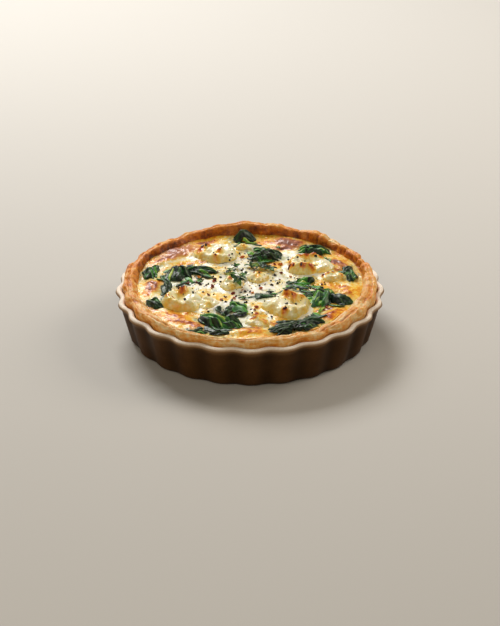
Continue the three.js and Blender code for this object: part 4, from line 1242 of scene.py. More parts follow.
def egg_custard(look):
    """Set egg custard, baked: a wet cream in the middle, gold at its edge, brown glossy skin."""
    material, tree, shader, place, browned, skin, juice, sunken = new_material(
        "egg_custard",
        "browned",
        "skin",
        "juice",
        "sunken",
        roughness=0.4,
        ior=1.4,
        specular_ior_level=0.4,
        subsurface_weight=0.12,
        subsurface_scale=0.002,
        subsurface_radius=(1.0, 0.7, 0.35),
        coat_weight=0.22,
        coat_roughness=0.1,
    )
    # curds of about 2 mm, and freckles of 0.7 mm where it took colour
    inputs = {"Vector": place, "Scale": 1 / (2 * MM), "Detail": 4.0}
    curds = add(tree, "ShaderNodeTexNoise", inputs).outputs[0]
    inputs = {"Vector": place, "Scale": 1 / (0.7 * MM), "Detail": 2.0}
    freckles = add(tree, "ShaderNodeTexNoise", inputs).outputs[0]
    tones = add(
        tree,
        "ShaderNodeValToRGB",
        {"Fac": speckled(tree, browned, (curds, 0.66), (freckles, 0.40))},
        stops=[
            (0.0, look.cream_colour),
            (0.13, "#f9e9b2"),
            (0.27, "#f8cd4c"),
            (0.42, look.gold_colour),
            (0.58, "#da7a12"),
            (0.74, "#ab480d"),
            (0.88, "#6a240c"),
            (1.0, "#3c1407"),
        ],
    )
    # over it lie the skin's mauve tint, partly painted sheen, then the green juice, then the leaf under
    # the surface
    thin = add(tree, "ShaderNodeMath", {0: juice, 1: 0.72}, operation="MULTIPLY").outputs[0]
    veiled = add(tree, "ShaderNodeMath", {0: sunken, 1: curds}, operation="MULTIPLY").outputs[0]
    inputs = {0: veiled, 1: 1.55}
    thick = add(tree, "ShaderNodeMath", inputs, operation="MULTIPLY", use_clamp=True).outputs[0]
    colour = tones.outputs[0]
    for amount, tint_over in ((skin, "#a8705c"), (thin, "#98a064"), (thick, "#3f5344")):
        inputs = {0: amount, 6: colour, 7: linear(tint_over)}
        colour = add(tree, "ShaderNodeMix", inputs, data_type="RGBA").outputs[2]
    tree.links.new(colour, shader.inputs["Base Color"])
    roughened(tree, shader, place, size=1.6, detail=3.0, strength=0.35, depth=0.6)
    return material


# ---------------------------------------- goat's cheese


def build_cheeses(look):
    """Each piece of goat's cheese: crumbly, with toasted peaks."""
    material = goats_cheese(look)
    for number, (name, cheese) in enumerate(CHEESES.items()):
        x0, y0, long, wide, height, turn, _, scorched = cheese
        segments, rows = int(18 * max(long, wide)) + 40, int(8 * max(long, wide)) + 16
        angle = np.arange(segments) * 2 * math.pi / segments
        share = np.cos(np.linspace(0, 0.495 * math.pi, rows))[:, None]
        rim = 9 * np.cos(angle), 9 * np.sin(angle)
        ragged = 0.09 * lumps(*rim, number, 4.5, 71) + 0.05 * lumps(*rim, number, 1.8, 70)
        outline = cheese_outline(cheese, angle) * (1 + ragged)
        along, across = share * outline * np.cos(angle), share * outline * np.sin(angle)
        x, y = out_of_frame(along, across, x0, y0, turn)
        z, fade = cheese_form(cheese, along, across, share)
        for line, rise, spread in CHEESE_FOLDS.get(name, []):
            wander = 0.5 * lumps(along, across, number, 2.6, 75)
            away = line_away(along + wander, across - wander, line) / spread
            z = z + CHEESE_FOLD_DEPTH * rise * fade * np.exp(-(away**2))
        z = z + 0.25 * fade * unevenness(x, y, 6, x0)

        # soft lumps pressed together, with creases where they meet
        warp = 1.1 * lumps(x, y, number, 5.0, 79)
        pillow = np.abs(lumps(x + warp, y - warp, 0.6 * z, 4.4, 72)) ** 0.75
        small = np.abs(lumps(x, y, z, 2.0, 73)) ** 0.8
        crumbly = lumps(x, y, z, 3.0, 74, 3)
        relief = (0.22 + 0.07 * min(height, 5)) * (pillow - 0.45)
        relief = relief + 0.24 * (small - 0.4) + 0.14 * crumbly
        z = z + ramped(0, 0.14, 1 - share) * relief + 0.05 * lumps(x, y, z, 0.8, 76)
        z[0] = np.minimum(z[0], custard_top(x[0], y[0]) - 0.4)

        toast = 0.0
        for at_along, at_across, radius, strength in scorched:
            away = np.hypot(along - at_along, across - at_across) / (look.toast_reach * radius)
            toast = np.maximum(toast, strength * np.exp(-(away**2)))
        toast = toast * (1.05 + 0.4 * crumbly + 0.2 * lumps(x, y, z, 1.2, 77))
        # painted shade: the steep flanks and the creases between the lumps are painted gold
        steep = np.abs(np.gradient(z, axis=0) / (np.gradient(share * outline, axis=0) + 1e-6))
        crease_shade = 1 - ramped(0.0, 0.4, pillow)
        flank = 0.95 * ramped(0.3, 1.9, steep) * (0.85 + 0.3 * crumbly) + 0.25 * crease_shade

        # a narrower ring under the custard closes it
        sunk = out_of_frame(0.85 * along[0], 0.85 * across[0], x0, y0, turn)
        rings = np.concatenate([[points_at(*sunk, CUSTARD_LEVEL - 2.5)], points_at(x, y, z)])
        piece = turned_object(f"soft_{name}", rings, under=1, toast=toast, flank=flank)
        finish_piece(piece, material, [name])


def goats_cheese(look):
    """Soft goat's cheese, crumbled and grilled: chalky ivory, gold on its flanks, burnt tips."""
    material, tree, shader, place, toast, flank = new_material(
        "goats_cheese",
        "toast",
        "flank",
        roughness=0.36,
        ior=1.42,
        specular_ior_level=0.5,
        subsurface_weight=0.3,
        subsurface_scale=0.002,
        subsurface_radius=(1.0, 0.75, 0.4),
        coat_weight=0.45,
        coat_roughness=0.1,
    )
    # curd grains of about 1.2 mm
    curds = roughened(tree, shader, place, size=1.2, detail=4.0, strength=0.4, depth=0.6)
    # the flanks' painted shade shifts the curd towards gold
    low = add(tree, "ShaderNodeMath", {0: flank, 1: 0.27}, operation="MULTIPLY").outputs[0]
    most = add(tree, "ShaderNodeMath", {0: toast, 1: low}, operation="MAXIMUM").outputs[0]
    tones = add(
        tree,
        "ShaderNodeValToRGB",
        {"Fac": speckled(tree, most, (curds, 0.26))},
        stops=[
            (0.0, look.curd_colour),
            (0.14, "#fdedb0"),
            (0.28, "#fad160"),
            (0.42, "#f2b23c"),
            (0.55, look.toasted_colour),
            (0.69, "#bc4c0c"),
            (0.84, "#70200a"),
            (1.0, "#2c0f08"),
        ],
    )
    tree.links.new(tones.outputs[0], shader.inputs["Base Color"])
    return material


# ---------------------------------------- spinach


def leaf_frame(leaf, seed, u):
    """The half width and the sideways bend of a leaf along its length; u runs from -1 to 1."""
    long, wide = leaf[2], leaf[3]
    width = wide * (1 - np.abs(u) ** 2.4) ** 0.7 * (1 + 0.18 * np.sin(5.4 * u + seed)) + 0.04
    return width, 0.2 * wide * np.sin(2.1 * u + seed) + 0.3 * lumps(u * long, seed, 0, 3.0, 80)


def leaf_height(leaf, seed, x, y):
    """How high a wilted leaf stands over what it lies on, and how its pleats go from 0 to 1.

    Outside the leaf its height is minus infinity.
    """
    x0, y0, long, wide, turn, fold, ridges = leaf[:7]
    along, across = into_frame(x, y, x0, y0, turn)
    u = np.clip(along / long, -1, 1)
    width, bend = leaf_frame(leaf, seed, u)
    v = (across - bend) / width
    # sharp pleats that run along the leaf and are never quite parallel
    sideways = across + 0.9 * lumps(along / 2, across, seed, 4.0, 84)
    pleat = 1 - np.abs((sideways / (1.5 + 0.25 * wide) + 0.31 * seed) % 2 - 1)
    # its broad ridges, lower towards its ends
    skew = v + 0.24 * np.sin(2.6 * u + 1.7 * seed) * (1 - np.clip(v * v, 0, 1))
    ridge = ridges * (np.clip(skew, -1, 1) + 1)
    broad = 0.15 - 0.15 * np.cos(math.pi * ridge) + 0.7 * (1 - np.abs(ridge % 2 - 1))
    wave = 0.22 * (1 + np.sin(5.1 * u + 2.2 * v + 2 * seed))
    height = fold * (broad + wave) * (1 - (0.6 + 0.1 * fold) * np.abs(u) ** 1.5)
    height = height + (0.1 + 0.25 * ridges) * (pleat - 0.4)
    height = height + 0.16 * lumps(x, y, 3 * seed, 2.8, 82, 2)
    inside = ramped(0.0, 0.26, 1 - np.abs(v)) * ramped(0.0, 0.10, 1 - np.abs(along / long))
    height = 0.15 + (0.3 + 0.7 * inside) * np.maximum(height, 0.0)
    return np.where((np.abs(v) > 1) | (np.abs(along) > long), -np.inf, height), pleat


def sheet_faces(rows, columns):
    """Faces of a thin sheet: its top, its underside and the border between them."""
    step = columns + 1
    i, j = np.meshgrid(np.arange(rows), np.arange(columns), indexing="ij")
    a = (i * step + j).ravel()
    layer = step * (rows + 1)
    quads = np.stack([a, a + step, a + step + 1, a + 1], axis=-1)
    lower_quads = np.stack([a, a + 1, a + step + 1, a + step], axis=-1) + layer
    loop = [*range(columns), *[k * step + columns for k in range(rows)]]
    loop += [rows * step + k for k in range(columns, 0, -1)] + [k * step for k in range(rows, 0, -1)]
    border = [[p, q, q + layer, p + layer] for p, q in zip(loop, loop[1:] + loop[:1])]
    return quads.tolist() + lower_quads.tolist() + border


def thin_sheet(x, y, z, thickness):
    """The points and faces of a thin sheet from the grid of points on its top."""
    layers = [points_at(x, y, z).reshape(-1, 3), points_at(x, y, z - thickness).reshape(-1, 3)]
    return np.concatenate(layers), sheet_faces(len(z) - 1, len(z[0]) - 1)


def both_sides(*values):
    """Values from 0 to 1 for the grid on a sheet's top, repeated for its underside."""
    return [np.tile(np.clip(value, 0, 1).ravel(), 2) for value in values]


def leaf_sheet(leaf, seed, thickness):
    """One whole wilted leaf as points, faces, greens and veins."""
    x0, y0, long, wide, turn, _, _, fresh = leaf
    rows, columns = max(18, round(5.6 * long)), max(10, round(5.6 * wide))
    u = np.linspace(-1, 1, rows + 1)[:, None]
    v = np.linspace(-1, 1, columns + 1)[None, :]
    width, bend = leaf_frame(leaf, seed, u)
    notch = lumps(u * long, 7 * np.sign(v), seed, 2.0, 81, 2) + 0.1
    reach = 1 - np.maximum(notch, 0) * 0.4 * np.abs(v) ** 2  # the rim is torn here and there
    px, py = out_of_frame(u * long, v * reach * width + bend, x0, y0, turn)
    height, pleat = leaf_height(leaf, seed, px, py)
    height = np.where(np.isfinite(height), height, 0.3)
    rim = np.maximum(np.abs(v), np.abs(u) ** 4)
    curl = ramped(0.8, 1.0, rim) * (0.45 * lumps(px, py, seed, 2.4, 86) - 0.10)
    z = custard_top(px, py) + REST_GAP + height + curl

    midrib = np.exp(-((v / 0.07) ** 2)) * (1 - u**4)
    veins = np.abs(np.sin(math.pi * (u * long - 1.6 * np.abs(v) * wide) / 2.6))
    vein = midrib + 0.6 * ramped(0.88, 1.0, veins) * (1 - v**4)
    # pleat crests lighter and their valleys darker, and one rim lighter: painted highlight and shade
    green = fresh + 0.34 * (pleat - 0.5) + 0.16 * lumps(px, py, seed, 3.0, 87, 2)
    green = green + 0.30 * ramped(0.6, 1.0, v) * ramped(0.3, 0.5, fresh)
    return *thin_sheet(px, py, z, thickness), *both_sides(green, vein)


def blade_sheet(line, half_width, tone, fold, seed, thickness, leaves):
    """A long pointed fold of leaf along a line, lying over the leaves, as a whole leaf is given."""
    spans = np.hypot(*np.diff(np.array(line, float), axis=0).T)
    length = spans.sum()
    rows, columns = max(12, round(3.2 * length)), 6
    t = np.linspace(0, 1, rows + 1)
    knots = np.concatenate([[0], np.cumsum(spans)]) / length
    degree = min(2, len(line) - 1)
    cx, cy = [np.polyval(np.polyfit(knots, [p[k] for p in line], degree), t) for k in (0, 1)]
    heading = np.arctan2(np.gradient(cy), np.gradient(cx))
    u = t[:, None]
    v = np.linspace(-1, 1, columns + 1)[None, :]
    torn = 1 + 0.35 * lumps(6 * u * half_width, 3 * np.sign(v), seed, 1.6, 81, 2)
    reach = half_width * (np.sin(math.pi * u**0.75) ** 0.65 + 0.03) * torn * v
    px = cx[:, None] - np.sin(heading)[:, None] * reach
    py = cy[:, None] + np.cos(heading)[:, None] * reach

    # it lies over whatever is highest there, smoothed, and comes down to the custard at its ends
    base = custard_top(px, py)
    for leaf, leaf_seed in leaves:
        lower = leaf_height(leaf, leaf_seed, px, py)[0]
        base = np.maximum(base, custard_top(px, py) + np.where(np.isfinite(lower), lower, 0))
    base = 0.5 * base + 0.25 * (np.roll(base, 1, axis=0) + np.roll(base, -1, axis=0))
    base[0], base[-1] = custard_top(px[0], py[0]), custard_top(px[-1], py[-1])
    lean = 0.5 * math.sin(5 * seed)
    tent = 1 - np.abs(v - lean) / (1 + abs(lean))
    bow = np.sin(math.pi * u) ** 0.6
    z = base + REST_GAP + 0.1 + fold * bow * tent + 0.22 * lumps(px, py, seed, 2.2, 82, 2) * bow

    # one face of the fold lighter and the other darker: painted light and shade
    green = tone + 0.22 * np.sign(v - lean) * ramped(0.15, 0.4, tone)
    green = green + 0.14 * lumps(px, py, seed, 2.0, 87)
    green = green + 0.16 * ramped(0.72, 1.0, np.abs(v)) * (1 if tone > 0.3 else 0.4)
    vein = np.exp(-(((v - lean) / 0.16) ** 2)) * bow
    return *thin_sheet(px, py, z, thickness), *both_sides(green, vein)


def small_blades(leaf, draw):
    """More folds of a leaf, drawn at random, that run along it."""
    x, y, long, wide, turn, fold, _, fresh = leaf
    found = []
    for _ in range(1 + round(long * wide / 14)):
        along, across = (1.3 * draw() - 0.65) * long, (1.5 * draw() - 0.75) * wide
        reach, slant = (0.25 + 0.25 * draw()) * long, 0.5 * (draw() - 0.5)
        line = []
        for step, bow in ((-1, 0), (0, 0.3), (1, 0)):
            place = along + step * reach, across + step * slant * reach + bow
            line.append(out_of_frame(*place, x, y, turn))
        half_width = 0.5 + 0.13 * wide * draw()
        tone = fresh + 0.8 * (draw() ** 1.5 - 0.3)
        found.append((line, half_width, tone, 0.4 + 0.2 * fold * draw()))
    return found


def torn_bits(count, thickness):
    """Loose leaf on the custard: shreds at each of the sunken leaves, and the broad torn pieces."""
    draw = seeded(811)
    found = []
    for x, y, long, wide, turn in SUNKEN_LEAVES:
        for _ in range(count):
            along, across = (2.4 * draw() - 1.2) * long, (3.6 * draw() - 1.8) * wide
            heading, reach = turn + 90 * (draw() - 0.5), 0.9 + 1.7 * draw()
            half_width, tone = 0.35 + 0.75 * draw(), 0.14 + 0.55 * draw() ** 2
            fold, bow = 0.1 + 0.3 * draw(), 0.5 * draw()
            at = out_of_frame(along, across, x, y, turn)
            if near_cheese(*at, 1.2):
                continue
            line = [out_of_frame(*place, *at, heading) for place in ((-reach, 0), (0, bow), (reach, 0))]
            shred = blade_sheet(line, half_width, tone, fold, 9 * draw(), thickness, ())
            found.append((shred[0] - [0, 0, 0.12], *shred[1:]))
    found += [blade_sheet(*leaf, 2.3 * k, thickness, ()) for k, leaf in enumerate(LOOSE_LEAVES)]
    return found


def sheets_object(name, sheets):
    """Several thin sheets as one mesh object."""
    faces, start = [], 0
    for points, some, _, _ in sheets:
        faces += (np.array(some) + start).tolist()
        start += len(points)
    points, greens, veins = (np.concatenate([sheet[k] for sheet in sheets]) for k in (0, 2, 3))
    return mesh_object(name, points, faces, green=greens, vein=veins)


def build_spinach(look):
    """Each bundle of wilted spinach: its whole leaves, with long folds and blades lying over them."""
    material = wilted_spinach(look)
    thickness = look.thickness / MM
    for number, (name, leaves) in enumerate(SPINACH.items()):
        draw = seeded(501 + 17 * number)
        whole = [(leaf, 1.3 * number + 2.1 * i) for i, leaf in enumerate(leaves)]
        sheets = [leaf_sheet(leaf, seed, thickness) for leaf, seed in whole]
        blades = BLADES.get(name, []) + [blade for leaf in leaves for blade in small_blades(leaf, draw)]
        for k, blade in enumerate(blades):
            sheets.append(blade_sheet(*blade, 1.3 * number + 0.7 * k + 3.7, thickness, whole))
        finish_piece(sheets_object(f"wilted_{name}", sheets), material, [name])
    torn = sheets_object("torn_spinach", torn_bits(look.shreds, thickness))
    finish_piece(torn, material)


def wilted_spinach(look):
    """Spinach leaf, wilted and baked: thin, dark and moist, paler along its veins."""
    material, tree, shader, place, green, vein = new_material(
        "wilted_spinach",
        "green",
        "vein",
        roughness=0.44,
        ior=1.42,
        specular_ior_level=0.32,
        coat_weight=0.16,
        coat_roughness=0.24,
    )
    # blotches of about 2 mm
    inputs = {"Vector": place, "Scale": 1 / (2 * MM), "Detail": 4.0}
    blotches = add(tree, "ShaderNodeTexNoise", inputs).outputs[0]
    # the green value carries the painted highlight and shade of the pleats and folds
    tones = add(
        tree,
        "ShaderNodeValToRGB",
        {"Fac": speckled(tree, green, (blotches, 0.36))},
        stops=[
            (0.0, "#040a05"),
            (0.26, look.leaf_colour),
            (0.5, "#276228"),
            (0.74, look.fresh_colour),
            (0.93, "#86bc40"),
            (1.0, "#bccb58"),
        ],
    )
    pale = add(tree, "ShaderNodeMath", {0: vein, 1: 0.52}, operation="MULTIPLY").outputs[0]
    inputs = {0: pale, 6: tones.outputs[0], 7: linear("#7ea468")}
    veined = add(tree, "ShaderNodeMix", inputs, data_type="RGBA")
    tree.links.new(veined.outputs[2], shader.inputs["Base Color"])
    roughened(tree, shader, place, size=1.0, detail=3.0, strength=0.22, depth=0.5)
    return material


# ---------------------------------------- thyme


def thyme_leaf(material):
    """One thyme leaf, 1 mm long and growing along +X: a pointed oval, bowed and folded a little."""
    u = np.linspace(0, 1, 9)[:, None]
    v = np.linspace(-1, 1, 7)[None, :]
    width = 0.25 * np.sin(math.pi * np.clip(u, 0.02, 0.985) ** 0.85) ** 0.8 + 0.012
    z = 0.16 * np.sin(math.pi * u) + 0.09 * v * v - 0.03
    leaf = mesh_object("thyme_leaf", *thin_sheet(u, v * width, z, 0.07))
    leaf.data.materials.append(material)
    return leaf


def smoothed(values):
    """Values along a line, each the mean of seven neighbours."""
    return np.convolve(np.pad(values, 3, mode="edge"), np.ones(7) / 7, mode="valid")


def sprig_line(stem, points=25):
    """Points along a sprig's stem, over what it lies on, and the stem's headings there."""
    t = np.linspace(0, len(stem) - 1, points)
    xs, ys = [smoothed(np.interp(t, range(len(stem)), [p[k] for p in stem])) for k in (0, 1)]
    zs = smoothed(topped_height(xs, ys)) + 0.75 + 0.8 * np.sin(math.pi * t / t[-1])
    line = points_at(xs, ys, zs)
    heading = np.gradient(line, axis=0)
    return line, heading / np.linalg.norm(heading, axis=1)[:, None]


def stem_rings(line, heading, radius, sides=7):
    """Rings of points round a sprig's line, thinner towards its end."""
    turn = (np.arange(sides) * 2 * math.pi / sides)[:, None]
    side = np.cross(heading, [0, 0, 1.0])
    side = (side / np.linalg.norm(side, axis=1)[:, None])[:, None]
    up = np.cross(side, heading[:, None])
    radius = (radius * np.linspace(1.1, 0.8, len(line)))[:, None, None]
    return line[:, None] + radius * (np.cos(turn) * side + np.sin(turn) * up)


def build_thyme(look):
    """The sprigs of thyme: a stem through its plan points, with whorls of leaves that rise a little."""
    material = fresh_thyme(look)
    leaf = thyme_leaf(material)
    for number, (name, (stem, whorls)) in enumerate(THYME.items()):
        line, heading = sprig_line(stem)
        draw = seeded(90 + number)
        places, turns, sizes = [], [], []
        for share, count, size in whorls:
            x, y, z = line[round((len(line) - 1) * share)]
            first = 2 * math.pi * draw()
            for spoke in range(count):
                turn = first + 2 * math.pi * (spoke + 0.45 * (draw() - 0.5)) / count
                length = size * (0.8 + 0.35 * draw())
                tip_x, tip_y = x + length * math.cos(turn), y + length * math.sin(turn)
                tip_z = float(topped_height(tip_x, tip_y)) + 1.0 + 1.5 * draw()
                places.append((x, y, z))
                turns.append((0.7 * (draw() - 0.5), -math.atan2(tip_z - z, length), turn))
                sizes.append((length, length * (0.9 + 0.35 * draw()), length))
        leaves = place_copies(f"{name}_leaves", places, turns, sizes, leaf, material, seed=number)
        rings = stem_rings(line, heading, look.stem_radius / MM)
        sprig = turned_object(f"{name}_stem", rings[::-1], tone=1.0)
        sprig.data.materials.append(material)
        finish_piece(joined_objects(f"fresh_{name}", [sprig, leaves]), None, [name])
    bpy.data.objects.remove(leaf)


def joined_objects(name, parts):
    """Several mesh objects as one."""
    bpy.ops.object.select_all(action="DESELECT")
    for part in parts:
        part.select_set(True)
    bpy.context.view_layer.objects.active = parts[0]
    bpy.ops.object.join()
    parts[0].name = parts[0].data.name = name
    return parts[0]


def fresh_thyme(look):
    """Thyme, fresh sprigs scattered after baking: small satin leaves, each its own green."""
    material, tree, shader, place, tone = new_material(
        "fresh_thyme", "tone", roughness=0.45, ior=1.42, specular_ior_level=0.45
    )
    grain = roughened(tree, shader, place, size=1.0, detail=3.0, strength=0.3, depth=0.2)
    stops = [(0.0, "#0a1a08"), (0.5, look.leaf_colour), (0.85, "#47802a"), (1.0, "#9aa44e")]
    inputs = {"Fac": speckled(tree, tone, (grain, 0.5))}
    tones = add(tree, "ShaderNodeValToRGB", inputs, stops)
    tree.links.new(tones.outputs[0], shader.inputs["Base Color"])
    return material


# ---------------------------------------- pepper and chilli


def crumb_shape(name, seed, flatness, corners=20):
    """A cracked crumb, 1 mm across: the flat-sided hull of a few points on an uneven ball."""
    rng = np.random.default_rng(seed)
    points = rng.normal(size=(corners, 3))
    points *= (rng.uniform(0.40, 0.52, corners) / np.linalg.norm(points, axis=1))[:, None]
    mesh = bpy.data.meshes.new(name)
    shape = bmesh.new()
    for point in points * [1, 0.85, flatness]:
        shape.verts.new(point * MM)
    hull = bmesh.ops.convex_hull(shape, input=shape.verts)
    within = [v for v in hull["geom_interior"] if isinstance(v, bmesh.types.BMVert)]
    bmesh.ops.delete(shape, geom=within, context="VERTS")
    bmesh.ops.recalc_face_normals(shape, faces=shape.faces)
    shape.to_mesh(mesh)
    shape.free()
    return linked(name, mesh)


def scattered(count, draw, reach, low, high):
    """Extra places [x, y, size], thickest in the middle of the quiche."""
    found = []
    for _ in range(count):
        r = reach * draw() ** 0.62
        angle = 2 * math.pi * draw()
        size = low + (high - low) * draw() ** 2
        found.append((r * math.cos(angle), r * math.sin(angle), size))
    return found


def build_sprinkle(name, places, shape, material, seed):
    """Crumbs of one kind where they lie, on cheese and custard alike."""
    rng = np.random.default_rng(seed)
    x, y, size = np.array(places).T
    z = np.maximum(custard_relief(x, y), topped_height(x, y) - 0.25)
    turns = rng.uniform([-0.5, -0.5, 0], [0.5, 0.5, 2 * math.pi], (len(x), 3))
    points, sizes = points_at(x, y, z + 0.18 * size), np.repeat(size[:, None], 3, axis=1)
    piece = place_copies(name, points, turns, sizes, shape, material, seed)
    bpy.data.objects.remove(shape)
    finish_piece(piece)


def build_pepper(look):
    """Cracked black pepper: the coarse grains that the part has, and finer ones between them."""
    smallest, largest = look.smallest / MM, look.largest / MM
    _, coarse = sprinkled_places()
    coarse = [(x, y, largest * (0.7 + 0.3 * abs(math.sin(7 * x)))) for x, y in coarse]
    fine = scattered(look.grains, seeded(77), 40, smallest, 0.8 * largest)
    shape = crumb_shape("pepper_grain", seed=5, flatness=0.8)
    build_sprinkle("cracked_pepper", coarse + fine, shape, black_pepper(look), seed=11)


def black_pepper(look):
    """Black peppercorns, cracked: near-black wrinkled husk and paler broken insides."""
    material, tree, shader, place, tone = new_material(
        "cracked_black_pepper", "tone", roughness=0.5, ior=1.45, specular_ior_level=0.4
    )
    husk = roughened(tree, shader, place, size=0.7, detail=3.0, strength=0.5, depth=0.2)
    both = add(tree, "ShaderNodeMath", {0: tone, 1: husk}, operation="MULTIPLY").outputs[0]
    stops = [(0.0, "#0c0907"), (0.42, look.husk_colour), (0.56, "#4a3322"), (0.8, "#8a6c48")]
    tones = add(tree, "ShaderNodeValToRGB", {"Fac": both}, stops)
    tree.links.new(tones.outputs[0], shader.inputs["Base Color"])
    return material


def build_chilli(look):
    """Chilli flakes: flat glossy shards, red-brown to orange."""
    largest = look.largest / MM
    coarse, _ = sprinkled_places()
    coarse = [(x, y, largest * (0.8 + 0.4 * abs(math.sin(5 * x)))) for x, y in coarse]
    fine = scattered(look.flakes, seeded(35), 42, 1.0, 0.7 * largest)
    places = coarse + CHILLI_FLAKES + fine
    shape = crumb_shape("chilli_flake", seed=9, flatness=0.4)
    build_sprinkle("chilli_flakes", places, shape, dried_chilli(look), seed=12)


def dried_chilli(look):
    """Dried chilli, crushed: leathery glossy skin from dark red to orange."""
    shine = {"roughness": 0.3, "ior": 1.45, "specular_ior_level": 0.5, "coat_weight": 0.3}
    material, tree, shader, place, tone = new_material("crushed_dried_chilli", "tone", **shine)
    grain = roughened(tree, shader, place, size=0.6, detail=3.0, strength=0.4, depth=0.2)
    stops = [(0.0, "#4a1206"), (0.45, look.skin_colour), (0.75, "#b4480f"), (1.0, "#dc8a26")]
    inputs = {"Fac": speckled(tree, tone, (grain, 0.3))}
    tones = add(tree, "ShaderNodeValToRGB", inputs, stops)
    tree.links.new(tones.outputs[0], shader.inputs["Base Color"])
    return material


# ---------------------------------------- stage


def facing(piece, place, target):
    """Puts a light or a camera at a place, so that it looks at a point."""
    piece.location = place
    piece.rotation_euler = (Vector(target) - Vector(place)).to_track_quat("-Z", "Y").to_euler()


def aimed(name, place, target, size, power, colour):
    """A soft rectangular light that faces a point."""
    light = bpy.data.lights.new(name, "AREA")
    light.shape, light.size, light.size_y = "RECTANGLE", *size
    light.energy, light.color = power, linear(colour)[:3]
    facing(linked(name, light), place, target)


def build_stage(look):
    """The plain pale floor, the soft lights and the camera."""
    half, below = 4000, -0.05  # a floor of 8 m, just under the dish
    corners = [(x * half, y * half, below) for x, y in ((-1, -1), (1, -1), (1, 1), (-1, 1))]
    floor = mesh_object("studio_floor", corners, [[0, 1, 2, 3]])
    paper = {"base_color": linear(look.floor_colour), "roughness": 0.9, "specular_ior_level": 0.1}
    floor.data.materials.append(new_material("matt_paper_floor", **paper)[0])

    centre = (0, 0, 0.02)
    aimed("back_window", (-0.30, 0.75, 0.70), centre, (0.55, 0.4), look.back_power, "#fcfaf8")
    aimed("side_window", (0.75, 0.30, 0.55), centre, (0.5, 0.4), look.side_power, "#fff4e6")
    aimed("front_fill", (-0.35, -0.9, 0.65), centre, (0.8, 0.6), look.fill_power, "#fff0d8")
    world = bpy.data.worlds.new("soft_room")
    bpy.context.scene.world = world
    world.use_nodes = True
    room = world.node_tree.nodes["Background"].inputs
    room["Color"].default_value = linear("#f4eee2")
    room["Strength"].default_value = look.room_light
    bpy.context.scene.view_settings.view_transform = "Standard"

    target, distance, down = Vector((0, 0, 0.0093)), 1.1, math.radians(27.1)
    data = bpy.data.cameras.new("camera")
    data.lens, data.sensor_width = 120.8, 36
    camera = linked("camera", data)
    place = target + distance * Vector((0, -math.cos(down), math.sin(down)))
    facing(camera, place, target)
    bpy.context.scene.camera = camera


# ---------------------------------------- add-on


def length(name, default, description):
    """A length property, its default given in millimetres."""
    kind = {"min": 0, "unit": "LENGTH", "subtype": "DISTANCE"}
    return FloatProperty(name=name, description=description, default=default * MM, **kind)


def power(name, default, description):
    """The power of a light, in watts."""
    kind = {"min": 0, "unit": "POWER"}
    return FloatProperty(name=name, description=description, default=default, **kind)


def tint(name, default, description):
    """A colour property, its default given as an sRGB hex value."""
    kind = {"size": 3, "min": 0, "max": 1, "subtype": "COLOR_GAMMA"}
    return FloatVectorProperty(name=name, description=description, default=srgb(default), **kind)


class QuicheDishLook(bpy.types.PropertyGroup):
    flutes: IntProperty(name="Flutes", description="Flutes round the wall", default=FLUTES, min=3)
    flute_depth: length("Flute depth", 2.0, "Depth of the grooves at the lip")
    foot_flute_depth: length("Foot flute depth", 1.3, "Depth of the grooves at the foot")
    unevenness: length("Unevenness", 0.5, "How far the wall strays from its true form")
    # the wall colour is darkened as painted shade; the lip colour is lightened as painted highlight
    shaded_wall_colour: tint("Wall", "#4b3016", "Brown glaze on the wall")
    lit_lip_colour: tint("Lip", "#f5e6d3", "Pale glaze where it breaks over the lip")


class QuicheCrustLook(bpy.types.PropertyGroup):
    ruffle_depth: length("Ruffle depth", 1.1, "Depth of the creases between the pinched lobes")
    fold_depth: length("Fold depth", 0.75, "Depth of the fold along the top of the rim")
    pale_colour: tint("Pale", "#efb35e", "Pastry that took little colour")
    golden_colour: tint("Golden", "#e58f2e", "Well baked pastry")


class QuicheCustardLook(bpy.types.PropertyGroup):
    cream_colour: tint("Cream", "#fbf8ea", "Pale custard in the middle")
    gold_colour: tint("Gold", "#f3a81c", "Custard where it took colour")


class QuicheCheeseLook(bpy.types.PropertyGroup):
    curd_colour: tint("Curd", "#fff5d4", "Goat's cheese as it is")
    toasted_colour: tint("Toasted", "#e27f12", "Goat's cheese where it is toasted")
    toast_reach: FloatProperty(
        name="Toast reach",
        description="How far the toasted places spread",
        default=1.05,
        min=0.1,
    )


class QuicheSpinachLook(bpy.types.PropertyGroup):
    thickness: length("Thickness", 0.24, "Thickness of a wilted leaf")
    leaf_colour: tint("Leaf", "#12351a", "Wilted leaf")
    fresh_colour: tint("Fresh", "#4b9a30", "Leaf that stayed green")
    shreds: IntProperty(
        name="Shreds", description="Torn bits at each place on the custard", default=6, min=1
    )


class QuicheThymeLook(bpy.types.PropertyGroup):
    stem_radius: length("Stem radius", 0.34, "Radius of a stem")
    leaf_colour: tint("Leaf", "#1f4716", "Thyme leaf")


class QuichePepperLook(bpy.types.PropertyGroup):
    grains: IntProperty(
        name="Fine grains", description="Grains besides the coarse ones", default=255, min=0
    )
    smallest: length("Smallest", 0.5, "Width of the finest grain")
    largest: length("Largest", 2.2, "Width of a coarse grain")
    husk_colour: tint("Husk", "#1d1612", "Outside of a peppercorn")


class QuicheChilliLook(bpy.types.PropertyGroup):
    flakes: IntProperty(
        name="Small flakes", description="Flakes besides the large ones", default=16, min=0
    )
    largest: length("Largest", 3.0, "Width of a large flake")
    skin_colour: tint("Skin", "#8e2a0e", "Dried chilli skin")


class QuicheStageLook(bpy.types.PropertyGroup):
    floor_colour: tint("Floor", "#ccc9c3", "Plain paper floor")
    back_power: power("Back window", 10.6, "Light from behind")
    side_power: power("Side window", 3.4, "Light from the right")
    fill_power: power("Front fill", 2.95, "Weak light from the front")
    room_light: FloatProperty(
        name="Room light", description="Strength of the light all round", default=0.155, min=0
    )


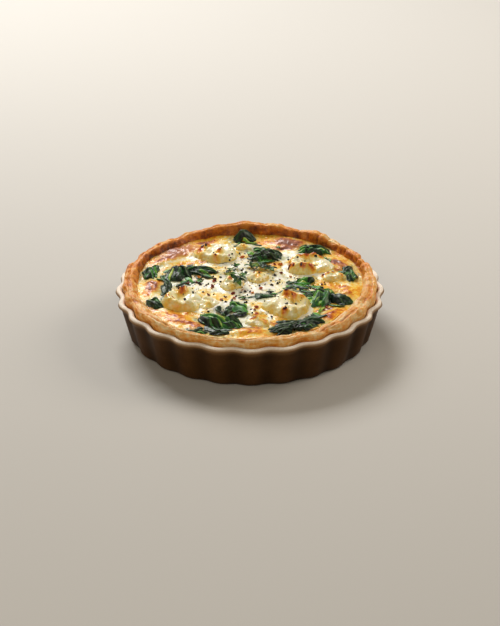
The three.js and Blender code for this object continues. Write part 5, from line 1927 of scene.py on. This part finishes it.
def piece_operator(key, label, build, doc):
    """An operator class that builds one piece from its property group."""

    def execute(self, context):
        build(getattr(context.scene, f"quiche_{key}"))
        return {"FINISHED"}

    body = {
        "bl_idname": f"quiche.{key}",
        "bl_label": label,
        "bl_options": {"REGISTER", "UNDO"},
        "__doc__": doc,
        "execute": execute,
    }
    return type(f"QUICHE_OT_{key}", (bpy.types.Operator,), body)


PIECES = [
    ("dish", "Fluted dish", build_dish, QuicheDishLook),
    ("crust", "Pastry case", build_crust, QuicheCrustLook),
    ("custard", "Custard", build_custard, QuicheCustardLook),
    ("cheese", "Goat's cheese", build_cheeses, QuicheCheeseLook),
    ("spinach", "Wilted spinach", build_spinach, QuicheSpinachLook),
    ("thyme", "Thyme", build_thyme, QuicheThymeLook),
    ("pepper", "Cracked pepper", build_pepper, QuichePepperLook),
    ("chilli", "Chilli flakes", build_chilli, QuicheChilliLook),
    ("stage", "Stage, lights and camera", build_stage, QuicheStageLook),
]
OPERATORS = [piece_operator(key, label, build, build.__doc__) for key, label, build, _ in PIECES]


class QUICHE_PT_panel(bpy.types.Panel):
    """The quiche's pieces, with their sizes and colours."""

    bl_idname = "QUICHE_PT_panel"
    bl_label = "Quiche"
    bl_space_type = "VIEW_3D"
    bl_region_type = "UI"
    bl_category = "Quiche"

    def draw(self, context):
        for key, label, _, group in PIECES:
            box = self.layout.box()
            box.operator(f"quiche.{key}", text=label)
            look = getattr(context.scene, f"quiche_{key}")
            for name in group.__annotations__:
                box.prop(look, name)


def register():
    for key, _, _, group in PIECES:
        bpy.utils.register_class(group)
        setattr(bpy.types.Scene, f"quiche_{key}", PointerProperty(type=group))
    for cls in (*OPERATORS, QUICHE_PT_panel):
        bpy.utils.register_class(cls)


def unregister():
    for cls in (QUICHE_PT_panel, *reversed(OPERATORS)):
        bpy.utils.unregister_class(cls)
    for key, _, _, group in reversed(PIECES):
        delattr(bpy.types.Scene, f"quiche_{key}")
        bpy.utils.unregister_class(group)


def main():
    """Builds every piece and notes the CAD box and the visual model's box."""
    register()
    for key, *_ in PIECES:
        getattr(bpy.ops.quiche, key)()


if __name__ == "__main__":
    main()
